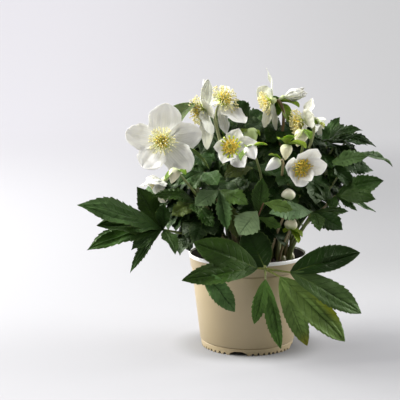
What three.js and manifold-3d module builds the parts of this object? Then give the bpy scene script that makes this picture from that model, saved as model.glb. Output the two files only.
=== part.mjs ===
// A hellebore (Christmas rose) growing in its nursery pot.
// Millimetres, +Z up, origin on the surface that the pot stands on, at the middle of its foot.
// The plant's front is towards -Y.
import * as THREE from "three";
import { mergeVertices } from "three/addons/utils/BufferGeometryUtils.js";
import Module from "manifold-3d";

const wasm = await Module();
wasm.setup();

// ---------------------------------------------------------------- driving dimensions
const POT_HEIGHT = 97;
const RIM_RADIUS = 60;
const FOOT_RADIUS = 47.6;
const POT_WALL = 1.6;
const POT_SIDES = 40;
const FOOT_BAND = 7; // height of the notched skirt below the body
const SKIRT_STEP = 0.7; // how far the body stands out over the skirt
const COLLAR = 14; // height of the band below the rim
const COLLAR_STEP = 0.8; // how far that band stands out
const LIP = 1.4; // height of the rolled lip
const FLOOR_UNDERSIDE = 4.2;
const FLOOR_THICKNESS = 1.6;
const BIG_NOTCHES = 4;
const BIG_NOTCH = { width: 16, height: 3.4 };
const SMALL_NOTCHES = 24;
const SMALL_NOTCH = { width: 2.2, height: 1.6 };
const DRAIN_HOLES = 6;
const DRAIN_RADIUS = 4;
const DRAIN_CIRCLE = 30;

const SOIL_TOP = 86;
const GAP = 0.3; // clearance where one piece rests on another

const PETIOLE = 3.4; // leaf stalk diameter
const BRANCH = 2.6; // the short arms that carry some leaflets
const FLOWER_STEM = 4; // flower stalk diameter
const BUD_STEM = 3.2;
const STALK_RISE = 0.4; // share of its reach that a stalk first goes straight up
const LEAF_REACH = 0.35; // share over which it swings to the way it arrives
const FLOWER_REACH = 0.16;
const BUD_REACH = 0.15;
const STEM_SIDES = 6;
const STEM_STEPS = 6;
const HUB_RADIUS = 2.6; // where a leaf's leaflets meet
const LEAF_THICKNESS = 1.5; // at the midrib
const SEPAL_THICKNESS = 1.3;
const SEPAL_WIDTH = 0.74; // as a share of its length
const SEPAL_ROLL = 9; // one margin of a sepal lies over its neighbour
const SEPAL_ARCH = -0.07; // cupped towards the way the flower looks
const LEAFLET_FOLD = 10;
const SEPAL_FOLD = 8;
const BRACT_FOLD = 15;
const BRACT_ARCH = 0.1;
const HIGHEST_BRACT = 0.97; // share of the stalk's length
const RECEPTACLE = { radius: 3.6, front: 1.5, back: 4.5 }; // how far it stands out each way
const STAMEN_LENGTH = 12;
const BUD_SEAT = 1.5; // how far a stalk runs into its bud

// How a blade's half width runs from base to tip: narrow ends, widest at rise / (rise + fall).
const LEAFLET_OUTLINE = { rise: 1.6, fall: 0.8 };
const BRACT_OUTLINE = { rise: 0.8, fall: 0.75 };
const SEPAL_OUTLINE = { rise: 0.62, fall: 0.42 };
const BLADE_STATIONS = [0.25, 0.55, 0.82];

// ---------------------------------------------------------------- materials
const finish = (colour, roughness) =>
  new THREE.MeshStandardMaterial({ color: colour, roughness, metalness: 0, flatShading: true });

const MATERIALS = {
  pot: finish("#c4b497", 0.55),
  soil: finish("#2b1d1a", 1),
  leaf: finish("#33502f", 0.5),
  stem: finish("#8a8f5a", 0.6),
  sepal: finish("#e9e6da", 0.55),
  stamen: finish("#d9cf62", 0.7),
  bud: finish("#e3e2bf", 0.55),
};

// ---------------------------------------------------------------- vectors and solids
const UP = new THREE.Vector3(0, 0, 1);
const vec = (p) => new THREE.Vector3(...p);
const radians = THREE.MathUtils.degToRad;

// A unit vector from a compass heading (degrees from +X towards +Y) and an elevation.
function direction(heading, elevation) {
  const flat = Math.cos(radians(elevation));
  return new THREE.Vector3(
    flat * Math.cos(radians(heading)),
    flat * Math.sin(radians(heading)),
    Math.sin(radians(elevation)),
  );
}

// A closed geometry as a solid, once the corners that its faces share are merged.
function solidOf(geometry) {
  const bare = new THREE.BufferGeometry().setAttribute("position", geometry.getAttribute("position"));
  if (geometry.index) bare.setIndex(geometry.index);
  const merged = mergeVertices(bare, 1e-3);
  return new wasm.Manifold(
    new wasm.Mesh({
      numProp: 3,
      vertProperties: new Float32Array(merged.attributes.position.array),
      triVerts: new Uint32Array(merged.index.array),
    }),
  );
}

// A solid as a named mesh.
function meshOf(name, solid, material) {
  const made = solid.getMesh();
  const positions = new Float32Array(made.numVert * 3);
  for (let i = 0; i < made.numVert; i++) {
    positions.set(made.vertProperties.subarray(i * made.numProp, i * made.numProp + 3), i * 3);
  }
  const geometry = new THREE.BufferGeometry()
    .setAttribute("position", new THREE.BufferAttribute(positions, 3))
    .setIndex(new THREE.BufferAttribute(new Uint32Array(made.triVerts), 1));
  geometry.computeVertexNormals();
  const mesh = new THREE.Mesh(geometry, material);
  mesh.name = name;
  return mesh;
}

const joined = (solids) => solids.reduce((whole, next) => whole.add(next));

// Turns a geometry built along +Z so that it stands at a point along an axis.
function placed(geometry, at, axis) {
  const turn = new THREE.Quaternion().setFromUnitVectors(UP, axis);
  return geometry.applyQuaternion(turn).translate(at.x, at.y, at.z);
}

// ---------------------------------------------------------------- blades: leaflets, bracts, sepals
function outlineShare({ rise, fall }, t) {
  const widest = rise / (rise + fall);
  const shape = (x) => x ** rise * (1 - x) ** fall;
  return shape(t) / shape(widest);
}

// A thin closed blade from base to tip: a ridge above and below the midrib, and sharp margins.
// arch lifts the midrib's middle towards the upper face, as a share of its length. fold lifts the margins.
function blade({ base, tip, width, thickness, outline, arch = 0, fold = 0, roll = 0, face = UP }) {
  const along = tip.clone().sub(base);
  const length = along.length();
  along.normalize();
  const side = new THREE.Vector3().crossVectors(along, face).normalize();
  side.applyAxisAngle(along, radians(roll));
  const normal = new THREE.Vector3().crossVectors(side, along);
  const control = base.clone().add(tip).multiplyScalar(0.5).addScaledVector(normal, arch * length * 2);
  const midrib = new THREE.QuadraticBezierCurve3(base, control, tip);
  const points = [base];
  for (const t of BLADE_STATIONS) {
    const centre = midrib.getPoint(t);
    const half = (width / 2) * outlineShare(outline, t);
    const out = side.clone().multiplyScalar(half * Math.cos(radians(fold)));
    const lift = normal.clone().multiplyScalar(half * Math.sin(radians(fold)));
    const thick = normal.clone().multiplyScalar((thickness / 2) * (1 - 0.5 * t));
    points.push(
      centre.clone().add(out).add(lift),
      centre.clone().add(thick),
      centre.clone().sub(out).add(lift),
      centre.clone().sub(thick),
    );
  }
  points.push(tip);
  const index = [];
  const last = points.length - 1;
  const rings = BLADE_STATIONS.length;
  for (let k = 0; k < 4; k++) {
    const next = (k + 1) % 4;
    index.push(0, 1 + k, 1 + next);
    for (let ring = 0; ring < rings - 1; ring++) {
      const a = 1 + 4 * ring;
      const b = a + 4;
      index.push(a + k, b + k, b + next, a + k, b + next, a + next);
    }
    const end = 1 + 4 * (rings - 1);
    index.push(end + k, last, end + next);
  }
  const geometry = new THREE.BufferGeometry().setFromPoints(points).setIndex(index);
  return solidOf(geometry);
}

// ---------------------------------------------------------------- stalks
// A stalk leaves the soil upright and arrives at its end pointing along a direction.
function stalkPath(root, end, arrival, reach = LEAF_REACH) {
  const start = new THREE.Vector3(root[0], root[1], SOIL_TOP + GAP);
  const distance = start.distanceTo(end);
  return new THREE.CubicBezierCurve3(
    start,
    start.clone().addScaledVector(UP, STALK_RISE * distance),
    end.clone().addScaledVector(arrival, -reach * distance),
    end,
  );
}

function stalk(path, diameter, steps = STEM_STEPS) {
  const section = new THREE.Shape();
  for (let i = 0; i < STEM_SIDES; i++) {
    const angle = (2 * Math.PI * i) / STEM_SIDES;
    const x = (diameter / 2) * Math.cos(angle);
    const y = (diameter / 2) * Math.sin(angle);
    if (i === 0) section.moveTo(x, y);
    else section.lineTo(x, y);
  }
  section.closePath();
  return solidOf(new THREE.ExtrudeGeometry(section, { steps, bevelEnabled: false, extrudePath: path }));
}

// ---------------------------------------------------------------- leaves
const FAN_LEAFLETS = 7;
const FAN_DROOP = 0.12;
const FAN_ARCH = 0.1;
const OUTER_SHORTER = 0.3; // the outermost leaflets against the middle one
const OUTER_NARROWER = 0.2;

// A leaf's leaflets spread like the fingers of a hand, in a plane that dips by pitch towards its heading.
function fan({ hub, heading, pitch, spread = 210, length, width }) {
  const forward = direction(heading, -pitch);
  const sideways = direction(heading + 90, 0);
  const leaflets = [];
  for (let i = 0; i < FAN_LEAFLETS; i++) {
    const share = (2 * i) / (FAN_LEAFLETS - 1) - 1;
    const turn = radians((share * spread) / 2);
    const reach = length * (1 - OUTER_SHORTER * Math.abs(share) ** 1.5);
    const aim = forward.clone().multiplyScalar(Math.cos(turn)).addScaledVector(sideways, Math.sin(turn));
    aim.z -= FAN_DROOP;
    leaflets.push({
      tip: vec(hub).addScaledVector(aim, reach).toArray(),
      width: width * (1 - OUTER_NARROWER * Math.abs(share)),
      arch: FAN_ARCH,
    });
  }
  return leaflets;
}

// root is where the stalk leaves the soil, hub where the leaflets meet, arrival the way the stalk gets there
// (or arrive, its elevation along heading), and face the way that the upper side of the leaf looks.
const LEAVES = [
  // The big leaf spreading to the left.
  {
    root: [-30, -18],
    hub: [-85, -52, 129],
    arrival: direction(205, 15),
    face: [0.1, -0.7, 0.7],
    leaflets: [
      { tip: [-163, -107, 162], width: 25, arch: 0.05 },
      { tip: [-110, -56, 172], width: 20, arch: 0.02 },
      { tip: [-118, -86, 134], width: 15, arch: 0.06, roll: 20 },
      { tip: [-136, -98, 119], width: 17, arch: 0.08, roll: 15 },
      { tip: [-115, -95, 95], width: 9, arch: 0.12, roll: 10 },
      { tip: [-72, -91, 112], width: 14, arch: 0.1 },
      { tip: [-84, -64, 157], width: 13, arch: 0.02, roll: -20 },
    ],
  },
  // The old leaf hanging over the front of the pot, its side leaflets on two short branches.
  {
    root: [12, -30],
    hub: [14, -76, 97],
    arrival: direction(-85, -55),
    reach: 0.55,
    face: [0, -0.97, 0.25],
    branches: [[-2, -78, 95], [40, -77, 91], [15, -83, 81]],
    leaflets: [
      { tip: [5, -64, 133], width: 34, arch: 0.02 },
      { tip: [-56, -94, 125], width: 27, arch: 0.05, roll: 12, branch: 0 },
      { tip: [-66, -110, 91], width: 22, arch: 0.09, roll: 20, branch: 0 },
      { tip: [-18, -108, 62], width: 17, arch: 0.2, roll: -20, branch: 0 },
      { tip: [3, -90, 40], width: 12, arch: 0.04, branch: 2 },
      { tip: [29, -88, 19], width: 15, arch: 0.06, branch: 2 },
      { tip: [56, -80, 17], width: 20, arch: 0.08 },
      { tip: [94, -76, 19], width: 22, arch: 0.1, roll: -10, branch: 1 },
      { tip: [110, -72, 46], width: 25, arch: 0.1, roll: -15, branch: 1 },
      { tip: [110, -62, 106], width: 27, arch: 0.03, roll: -10, branch: 1 },
    ],
  },
  // Right side, from low to high.
  {
    root: [42, -10],
    hub: [87, -20, 158],
    arrival: direction(-10, 50),
    face: [-0.1, -0.75, 0.65],
    leaflets: [
      { tip: [134, -26, 174], width: 21, arch: 0.05 },
      { tip: [124, -44, 158], width: 16, arch: 0.05 },
      { tip: [80, -38, 146], width: 10, arch: 0.05 },
      { tip: [108, -28, 144], width: 6, arch: 0.04 },
      { tip: [131, 0, 138], width: 5, arch: 0.06 },
      { tip: [120, 8, 166], width: 16, arch: 0.06 },
    ],
  },
  {
    root: [38, -2],
    hub: [80, -2, 187],
    arrival: direction(0, 60),
    face: [-0.1, -0.7, 0.7],
    leaflets: [
      { tip: [119, -16, 197], width: 18, arch: 0.08 },
      { tip: [160, 80, 175], width: 8, arch: 0.13 },
      { tip: [128, 4, 180], width: 17, arch: 0.08 },
      { tip: [104, -20, 172], width: 14, arch: 0.08 },
      { tip: [108, 16, 170], width: 14, arch: 0.1 },
    ],
  },
  {
    root: [35, 9],
    hub: [84, 20, 206],
    arrival: direction(15, 60),
    face: [-0.2, -0.6, 0.75],
    leaflets: [
      { tip: [117, 8, 221], width: 9, arch: 0.25 },
      { tip: [132, 14, 203], width: 9, arch: 0.25 },
      { tip: [113, 22, 221], width: 14, arch: 0.05 },
      { tip: [100, 26, 226], width: 12, arch: 0.04 },
      { tip: [126, 34, 203], width: 6, arch: 0.1 },
      { tip: [82, -2, 212], width: 13, arch: 0.1 },
    ],
  },
  {
    root: [27, 20],
    hub: [76, 44, 198],
    arrival: direction(40, 65),
    face: [0.2, -0.5, 0.8],
    leaflets: [
      { tip: [98, 46, 232], width: 12, arch: 0.05 },
      { tip: [112, 66, 214], width: 14, arch: 0.1 },
      { tip: [92, 84, 206], width: 15, arch: 0.12 },
      { tip: [62, 80, 210], width: 15, arch: 0.12 },
      { tip: [108, 50, 190], width: 13, arch: 0.12 },
    ],
  },
  // Front right, below the flowers.
  {
    root: [40, -28],
    hub: [62, -42, 145],
    arrival: direction(-50, 60),
    face: [0, -0.8, 0.6],
    leaflets: [
      { tip: [90, -60, 130], width: 18, arch: 0.04 },
      { tip: [17, -76, 146], width: 24, arch: 0.05 },
      { tip: [98, -38, 145], width: 8, arch: 0.05 },
      { tip: [66, -78, 132], width: 12, arch: 0.08 },
    ],
  },
  // Front middle.
  {
    root: [4, -14],
    hub: [7, -62, 143],
    arrival: direction(-80, 45),
    face: [0, -0.85, 0.5],
    leaflets: [
      { tip: [-9, -82, 127], width: 26, arch: 0.04 },
      { tip: [30, -64, 133], width: 8, arch: 0.06 },
      { tip: [41, -78, 162], width: 9, arch: 0.1 },
      { tip: [17, -68, 169], width: 12, arch: 0.05 },
    ],
  },
  // Front left, low.
  {
    root: [-16, -34],
    hub: [-52, -58, 155],
    arrival: direction(240, 55),
    face: [-0.1, -0.75, 0.65],
    leaflets: [
      { tip: [-94, -84, 167], width: 13, arch: 0.16 },
      { tip: [-76, -76, 147], width: 15, arch: 0.06 },
      { tip: [-50, -90, 150], width: 12, arch: 0.1 },
      { tip: [-36, -80, 136], width: 12, arch: 0.05 },
    ],
  },
  // Front left, higher.
  {
    root: [-10, -22],
    hub: [-30, -60, 169],
    arrival: direction(-110, 55),
    face: [0, -0.8, 0.6],
    leaflets: [
      { tip: [-54, -81, 157], width: 16, arch: 0.05 },
      { tip: [-23, -84, 134], width: 16, arch: 0.06 },
      { tip: [-7, -76, 157], width: 17, arch: 0.06 },
      { tip: [-12, -62, 122], width: 13, arch: 0.08 },
    ],
  },
  {
    root: [-12, -12],
    hub: [-45, -56, 186],
    arrival: direction(235, 60),
    face: [-0.1, -0.7, 0.7],
    leaflets: [
      { tip: [-70, -71, 176], width: 14, arch: 0.1 },
      { tip: [-32, -80, 177], width: 19, arch: 0.08 },
      { tip: [-58, -50, 170], width: 14, arch: 0.05 },
    ],
  },
  {
    root: [2, -6],
    hub: [2, -44, 189],
    arrival: direction(-95, 60),
    face: [0.1, -0.7, 0.7],
    leaflets: [
      { tip: [-26, -66, 182], width: 15, arch: 0.15 },
      { tip: [4, -48, 149], width: 16, arch: 0.05 },
      { tip: [30, -34, 182], width: 14, arch: 0.08 },
    ],
  },
  // The leaf that stands behind the top flowers.
  {
    root: [6, 10],
    hub: [2, 36, 227],
    arrival: direction(110, 75),
    face: [0, -0.75, 0.65],
    leaflets: [
      { tip: [-13, 38, 247], width: 12, arch: 0.03 },
      { tip: [14, 42, 245], width: 15, arch: 0.03 },
      { tip: [26, 30, 224], width: 13, arch: 0.08 },
      { tip: [-22, 34, 220], width: 14, arch: 0.08 },
      { tip: [0, 66, 232], width: 14, arch: 0.1 },
    ],
  },
  // Deep in the plant, facing forwards.
  { root: [-24, 2], hub: [-54, 2, 196], arrive: 70, heading: 245, pitch: 30, spread: 170,
    length: 36, width: 19 },
  { root: [32, -10], hub: [58, -24, 176], arrive: 65, heading: -45, pitch: 40, spread: 150,
    length: 32, width: 20 },
  // Round the left side and the back.
  { root: [-32, 6], hub: [-68, 26, 164], arrive: 45, heading: 170, pitch: 15, length: 50, width: 20 },
  { root: [-14, 20], hub: [-34, 56, 196], arrive: 50, heading: 120, pitch: 30, length: 50, width: 21 },
  { root: [6, 30], hub: [14, 72, 182], arrive: 45, heading: 85, pitch: 35, length: 50, width: 22 },
  { root: [34, 22], hub: [70, 56, 162], arrive: 40, heading: 40, pitch: 25, length: 52, width: 21 },
  { root: [-24, 30], hub: [-48, 72, 132], arrive: 30, heading: 125, pitch: 30, length: 52, width: 22 },
  { root: [16, 40], hub: [30, 78, 122], arrive: 25, heading: 75, pitch: 35, length: 44, width: 20 },
];

function leaf(spec, number) {
  const hub = vec(spec.hub);
  const arrival = spec.arrival ?? direction(spec.heading, spec.arrive);
  const face = spec.face ? vec(spec.face) : direction(spec.heading, 90 - spec.pitch);
  const parts = [
    stalk(stalkPath(spec.root, hub, arrival, spec.reach), PETIOLE),
    solidOf(new THREE.SphereGeometry(HUB_RADIUS, STEM_SIDES, 3).translate(hub.x, hub.y, hub.z)),
  ];
  for (const point of spec.branches ?? []) {
    parts.push(stalk(new THREE.LineCurve3(hub, vec(point)), BRANCH, 1));
  }
  for (const { tip, width, arch, roll, branch } of spec.leaflets ?? fan(spec)) {
    const end = vec(tip);
    const joint = branch === undefined ? hub : vec(spec.branches[branch]);
    const inset = branch === undefined ? 1 : -1;
    const base = joint.clone().addScaledVector(end.clone().sub(joint).normalize(), inset);
    const shape = { outline: LEAFLET_OUTLINE, arch, roll, fold: LEAFLET_FOLD, face };
    parts.push(blade({ base, tip: end, width, thickness: LEAF_THICKNESS, ...shape }));
  }
  return meshOf(`leaf_${String(number).padStart(2, "0")}`, joined(parts), MATERIALS.leaf);
}

// ---------------------------------------------------------------- flowers
// centre is the middle of the receptacle, heading and tilt say where the flower looks, splay how wide its
// stamens stand, and tips are the sepals' tips seen from the centre (a fourth number is a width).
// A bract is [share of the stalk's length, tip seen from there, width].
const FLOWERS = [
  { name: "1", root: [-26, -30], centre: [-84, -68, 217], heading: -97, tilt: 12, splay: 55,
    tips: [[-35, 4, 12], [3, 12, 35], [36, 8, 8], [28, -8, -24], [-17, -9, -24]],
    bracts: [[0.93, [30, 4, -20], 11], [0.97, [20, 26, 34], 13]] },
  { name: "2", root: [-14, -2], centre: [-44, -22, 244], heading: 195, tilt: -5, splay: 50,
    arrival: direction(185, 70),
    tips: [[0, 0, -42], [-4, 22, -24], [2, 12, 28], [8, -30, -6], [-6, 28, 6]],
    bracts: [] },
  { name: "3", root: [-8, 4], centre: [-27, 4, 250], heading: -50, tilt: 38, splay: 55,
    tips: [[24, -26, -16], [4, -24, -30, 12], [-21, 10, 4], [-18, 20, 22], [12, 22, 20]],
    bracts: [[0.86, [8, -6, -22], 11]] },
  { name: "4", root: [12, 4], centre: [24, 8, 251], heading: 190, tilt: 2, splay: 42,
    arrival: direction(190, 35),
    tips: [[-18, -20, 14], [-4, 6, 36], [-7, -14, -29], [0, 17, -30], [-2, 30, 6]],
    bracts: [] },
  { name: "6", root: [30, 3], centre: [57, 2, 230], heading: 200, tilt: -6, splay: 46,
    tips: [[8, 4, 24], [6, -26, 12], [-8, -18, -14], [-6, 14, -21], [10, 26, 6]],
    bracts: [] },
  { name: "7", root: [-6, -16], centre: [-18, -52, 210], heading: -105, tilt: 14, splay: 45,
    tips: [[-18, -8, 1], [7, 4, 17], [26, -2, 4], [12, -14, -18], [-9, -14, -14]],
    bracts: [] },
  { name: "8", root: [30, -22], centre: [48, -54, 190], heading: -70, tilt: -2, splay: 29,
    tips: [[15, -13, 22], [26, -11, 2], [10, -17, -14], [-6, -17, -18], [-17, -14, 6]],
    bracts: [] },
  { name: "9", root: [-34, -6], centre: [-84, -26, 174], heading: 207, tilt: -48, splay: 12,
    tips: [[-24, -10, -4], [-4, -18, -19], [4, 12, -20], [-18, 14, -6], [-14, -20, 0]],
    bracts: [] },
  { name: "10", root: [28, 29], centre: [75, 52, 229], heading: 25, tilt: -5, splay: 40,
    tips: [[2, 4, 14], [-4, -14, 4], [-4, -6, -14], [0, 16, -12], [0, 20, 8]],
    bracts: [[0.85, [4, 10, -16], 10]] },
];
const HALF_OPEN = { name: "5", root: [32, 12], centre: [37, 20, 253], heading: -20, tilt: 30,
  arrival: direction(-10, 75),
  tips: [[19, -6, 13], [18, -12, 8], [14, -12, 16], [16, 2, 18], [20, 2, 9]],
  bracts: [[1, [22, -8, -2], 10], [1, [10, -10, -20], 11], [0.92, [4, -10, 12], 6]] };

// A point on the stalk as it is built, with its straight steps.
function onStalk(path, share) {
  const step = Math.min(Math.floor(share * STEM_STEPS), STEM_STEPS - 1);
  const from = path.getPointAt(step / STEM_STEPS);
  const to = path.getPointAt((step + 1) / STEM_STEPS);
  return from.lerp(to, share * STEM_STEPS - step);
}

function bract(path, [share, offset, width]) {
  const base = onStalk(path, Math.min(share, HIGHEST_BRACT));
  const tip = base.clone().add(vec(offset));
  const shape = { outline: BRACT_OUTLINE, arch: BRACT_ARCH, fold: BRACT_FOLD };
  return blade({ base, tip, width, thickness: LEAF_THICKNESS, ...shape });
}

function flowerStem(spec, axis, centre) {
  const arrival = spec.arrival ?? axis;
  const corner = (FLOWER_STEM / 2) * Math.sin(arrival.angleTo(axis));
  const end = centre.clone().addScaledVector(axis, -(RECEPTACLE.back + GAP + corner));
  const path = stalkPath(spec.root, end, arrival, FLOWER_REACH);
  const parts = [stalk(path, FLOWER_STEM), ...spec.bracts.map((b) => bract(path, b))];
  return meshOf(`flower_stem_${spec.name}`, joined(parts), MATERIALS.stem);
}

function sepals(spec, axis, centre) {
  const { radius, front, back } = RECEPTACLE;
  const cone = new THREE.CylinderGeometry(radius, 0.6 * radius, front + back, 8)
    .rotateX(Math.PI / 2)
    .translate(0, 0, (front - back) / 2);
  const parts = [solidOf(placed(cone, centre, axis))];
  for (const [x, y, z, width] of spec.tips) {
    const reach = new THREE.Vector3(x, y, z);
    const base = centre.clone().addScaledVector(reach.clone().normalize(), 1);
    const size = { width: width ?? SEPAL_WIDTH * reach.length(), thickness: SEPAL_THICKNESS };
    const shape = { outline: SEPAL_OUTLINE, arch: SEPAL_ARCH, fold: SEPAL_FOLD, roll: SEPAL_ROLL };
    parts.push(blade({ base, tip: centre.clone().add(reach), ...size, ...shape, face: axis }));
  }
  return meshOf(`flower_sepals_${spec.name}`, joined(parts), MATERIALS.sepal);
}

function stamens(spec, axis, centre) {
  const splay = radians(spec.splay);
  const profile = [
    [0, 0],
    [1.2, 0],
    [STAMEN_LENGTH * Math.sin(splay), STAMEN_LENGTH * Math.cos(splay)],
    [STAMEN_LENGTH * Math.sin(splay) * 0.75, STAMEN_LENGTH * Math.cos(splay) + 3],
    [0, STAMEN_LENGTH * Math.cos(splay) + 3.5],
  ].map(([r, z]) => new THREE.Vector2(r, z));
  const boss = new THREE.LatheGeometry(profile, 8).rotateX(Math.PI / 2);
  const foot = centre.clone().addScaledVector(axis, RECEPTACLE.front + GAP);
  return meshOf(`flower_stamens_${spec.name}`, solidOf(placed(boss, foot, axis)), MATERIALS.stamen);
}

// ---------------------------------------------------------------- buds
const BUDS = [
  { root: [1, -2], base: [1, -16, 221], heading: 170, tilt: 45, length: 14, width: 11,
    bracts: [[0.97, [9, -2, -2], 7]] },
  { root: [18, -24], base: [-3, -73, 213], heading: -55, tilt: -45, length: 16, width: 13,
    arrival: direction(200, 40), bracts: [[0.97, [16, -2, 4], 9]] },
  { root: [20, -14], base: [28, -60, 199], heading: 195, tilt: -35, length: 18, width: 11,
    bracts: [[0.97, [-11, -5, 5], 8]] },
  { root: [24, -4], base: [36, -44, 212], heading: -110, tilt: -70, length: 16, width: 12,
    bracts: [[0.97, [13, -6, 2], 12], [0.97, [-8, -8, 6], 9]] },
  { root: [-24, -40], base: [-71, -87, 194], heading: 230, tilt: -62, length: 16, width: 11,
    arrival: direction(215, 50), bracts: [[0.97, [-10, -5, -8], 9]] },
  { root: [20, -34], base: [38, -52, 158], heading: 80, tilt: 75, length: 12, width: 13, bracts: [] },
  { root: [44, 6], base: [53, -30, 225], heading: 200, tilt: -68, length: 18, width: 14, bracts: [] },
  { root: [30, -30], base: [39, -50, 128], heading: 60, tilt: 60, length: 14, width: 13,
    bracts: [[0.97, [12, -4, -7], 10]] },
];

function bud(spec, number) {
  const axis = direction(spec.heading, spec.tilt);
  const base = vec(spec.base);
  const middle = base.clone().addScaledVector(axis, spec.length / 2);
  const swollen = new THREE.SphereGeometry(0.5, 7, 6)
    .rotateX(Math.PI / 2)
    .scale(spec.width, spec.width, spec.length);
  const end = base.clone().addScaledVector(axis, BUD_SEAT);
  const path = stalkPath(spec.root, end, spec.arrival ?? axis, BUD_REACH);
  const parts = [
    stalk(path, BUD_STEM),
    solidOf(placed(swollen, middle, axis)),
    ...spec.bracts.map((b) => bract(path, b)),
  ];
  return meshOf(`bud_${number}`, joined(parts), MATERIALS.bud);
}

// ---------------------------------------------------------------- pot and soil
const wallRadius = (z) => FOOT_RADIUS + ((RIM_RADIUS - COLLAR_STEP - FOOT_RADIUS) * z) / POT_HEIGHT;

function pot() {
  const collarFoot = POT_HEIGHT - COLLAR;
  const floorTop = FLOOR_UNDERSIDE + FLOOR_THICKNESS;
  const profile = [
    [0, FLOOR_UNDERSIDE],
    [wallRadius(FLOOR_UNDERSIDE) - SKIRT_STEP - POT_WALL, FLOOR_UNDERSIDE],
    [wallRadius(0) - SKIRT_STEP - POT_WALL, 0],
    [wallRadius(0) - SKIRT_STEP, 0],
    [wallRadius(FOOT_BAND) - SKIRT_STEP, FOOT_BAND],
    [wallRadius(FOOT_BAND), FOOT_BAND + SKIRT_STEP],
    [wallRadius(collarFoot - COLLAR_STEP), collarFoot - COLLAR_STEP],
    [wallRadius(collarFoot) + COLLAR_STEP, collarFoot],
    [RIM_RADIUS, POT_HEIGHT - LIP],
    [RIM_RADIUS - POT_WALL / 2, POT_HEIGHT],
    [RIM_RADIUS - POT_WALL - COLLAR_STEP, POT_HEIGHT - LIP / 2],
    [wallRadius(floorTop) - POT_WALL, floorTop],
    [0, floorTop],
  ].map(([r, z]) => new THREE.Vector2(r, z));
  let body = solidOf(new THREE.LatheGeometry(profile, POT_SIDES).rotateX(Math.PI / 2));
  const notch = ({ width, height }, angle) =>
    solidOf(
      new THREE.BoxGeometry(12, width, 2 * height).translate(FOOT_RADIUS, 0, 0).rotateZ(angle),
    );
  for (let i = 0; i < BIG_NOTCHES; i++) {
    body = body.subtract(notch(BIG_NOTCH, radians(-98) + (2 * Math.PI * i) / BIG_NOTCHES));
  }
  for (let i = 0; i < SMALL_NOTCHES; i++) {
    body = body.subtract(notch(SMALL_NOTCH, radians(-80) + (2 * Math.PI * i) / SMALL_NOTCHES));
  }
  for (let i = 0; i < DRAIN_HOLES; i++) {
    const hole = new THREE.CylinderGeometry(DRAIN_RADIUS, DRAIN_RADIUS, 3 * FLOOR_THICKNESS, 8)
      .rotateX(Math.PI / 2)
      .translate(DRAIN_CIRCLE, 0, FLOOR_UNDERSIDE + FLOOR_THICKNESS / 2)
      .rotateZ((2 * Math.PI * i) / DRAIN_HOLES);
    body = body.subtract(solidOf(hole));
  }
  return meshOf("pot", body, MATERIALS.pot);
}

function soil() {
  const bottom = FLOOR_UNDERSIDE + FLOOR_THICKNESS + GAP;
  const inside = (z) => wallRadius(z) - POT_WALL - 2 * GAP - COLLAR_STEP * (z / POT_HEIGHT);
  const profile = [
    [0, bottom],
    [inside(bottom), bottom],
    [inside(SOIL_TOP), SOIL_TOP],
    [0, SOIL_TOP],
  ].map(([r, z]) => new THREE.Vector2(r, z));
  return meshOf(
    "potting_mix",
    solidOf(new THREE.LatheGeometry(profile, POT_SIDES).rotateX(Math.PI / 2)),
    MATERIALS.soil,
  );
}

// ---------------------------------------------------------------- the plant in its pot
const plant = new THREE.Group();
plant.add(pot(), soil());
LEAVES.forEach((spec, i) => plant.add(leaf(spec, i + 1)));
for (const spec of FLOWERS) {
  const axis = direction(spec.heading, spec.tilt);
  const centre = vec(spec.centre);
  plant.add(flowerStem(spec, axis, centre), sepals(spec, axis, centre), stamens(spec, axis, centre));
}
const halfOpenAxis = direction(HALF_OPEN.heading, HALF_OPEN.tilt);
plant.add(flowerStem(HALF_OPEN, halfOpenAxis, vec(HALF_OPEN.centre)));
plant.add(sepals(HALF_OPEN, halfOpenAxis, vec(HALF_OPEN.centre)));
BUDS.forEach((spec, i) => plant.add(bud(spec, i + 1)));

export default plant;
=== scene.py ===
"""A hellebore in flower in its nursery pot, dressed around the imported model.

Sizes are in millimetres until a piece is finished, when its mesh is written in metres.
The origin is on the surface that the pot stands on, at the middle of its foot. +Z is up
and the plant's front is towards -Y.
"""

from __future__ import annotations

import logging
import math
import sys
from dataclasses import dataclass, replace
from enum import Enum
from functools import lru_cache
from typing import Any, Sequence

import bpy
import numpy as np
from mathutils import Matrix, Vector

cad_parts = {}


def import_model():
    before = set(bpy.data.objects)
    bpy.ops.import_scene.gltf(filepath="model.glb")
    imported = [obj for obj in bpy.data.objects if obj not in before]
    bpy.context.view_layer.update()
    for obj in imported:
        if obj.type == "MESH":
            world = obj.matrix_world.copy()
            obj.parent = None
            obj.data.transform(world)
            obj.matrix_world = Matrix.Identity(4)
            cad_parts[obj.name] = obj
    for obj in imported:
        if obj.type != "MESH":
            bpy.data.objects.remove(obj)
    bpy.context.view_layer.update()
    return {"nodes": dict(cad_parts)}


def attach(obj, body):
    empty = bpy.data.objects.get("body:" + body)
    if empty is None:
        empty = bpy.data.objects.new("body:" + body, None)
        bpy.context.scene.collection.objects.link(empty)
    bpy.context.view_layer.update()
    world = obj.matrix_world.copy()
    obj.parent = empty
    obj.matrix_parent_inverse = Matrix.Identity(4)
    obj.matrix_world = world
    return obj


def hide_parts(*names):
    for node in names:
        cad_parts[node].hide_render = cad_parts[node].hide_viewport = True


LOG = logging.getLogger("hellebore")

METRE = 0.001
BODY = "root"
SOIL_TOP = 86.0
GAP = 0.3
TURN = 2 * math.pi
GOLDEN_ANGLE = math.pi * (3 - math.sqrt(5))
UP = np.array([0.0, 0.0, 1.0])

Point = Sequence[float]
Colour = tuple[float, float, float]
Socket = bpy.types.NodeSocket
Array = np.ndarray


# ---- directions
def unit(vector: Array) -> Array:
    """Returns the vector at length one, row by row."""
    return vector / np.linalg.norm(vector, axis=-1, keepdims=True)


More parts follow.
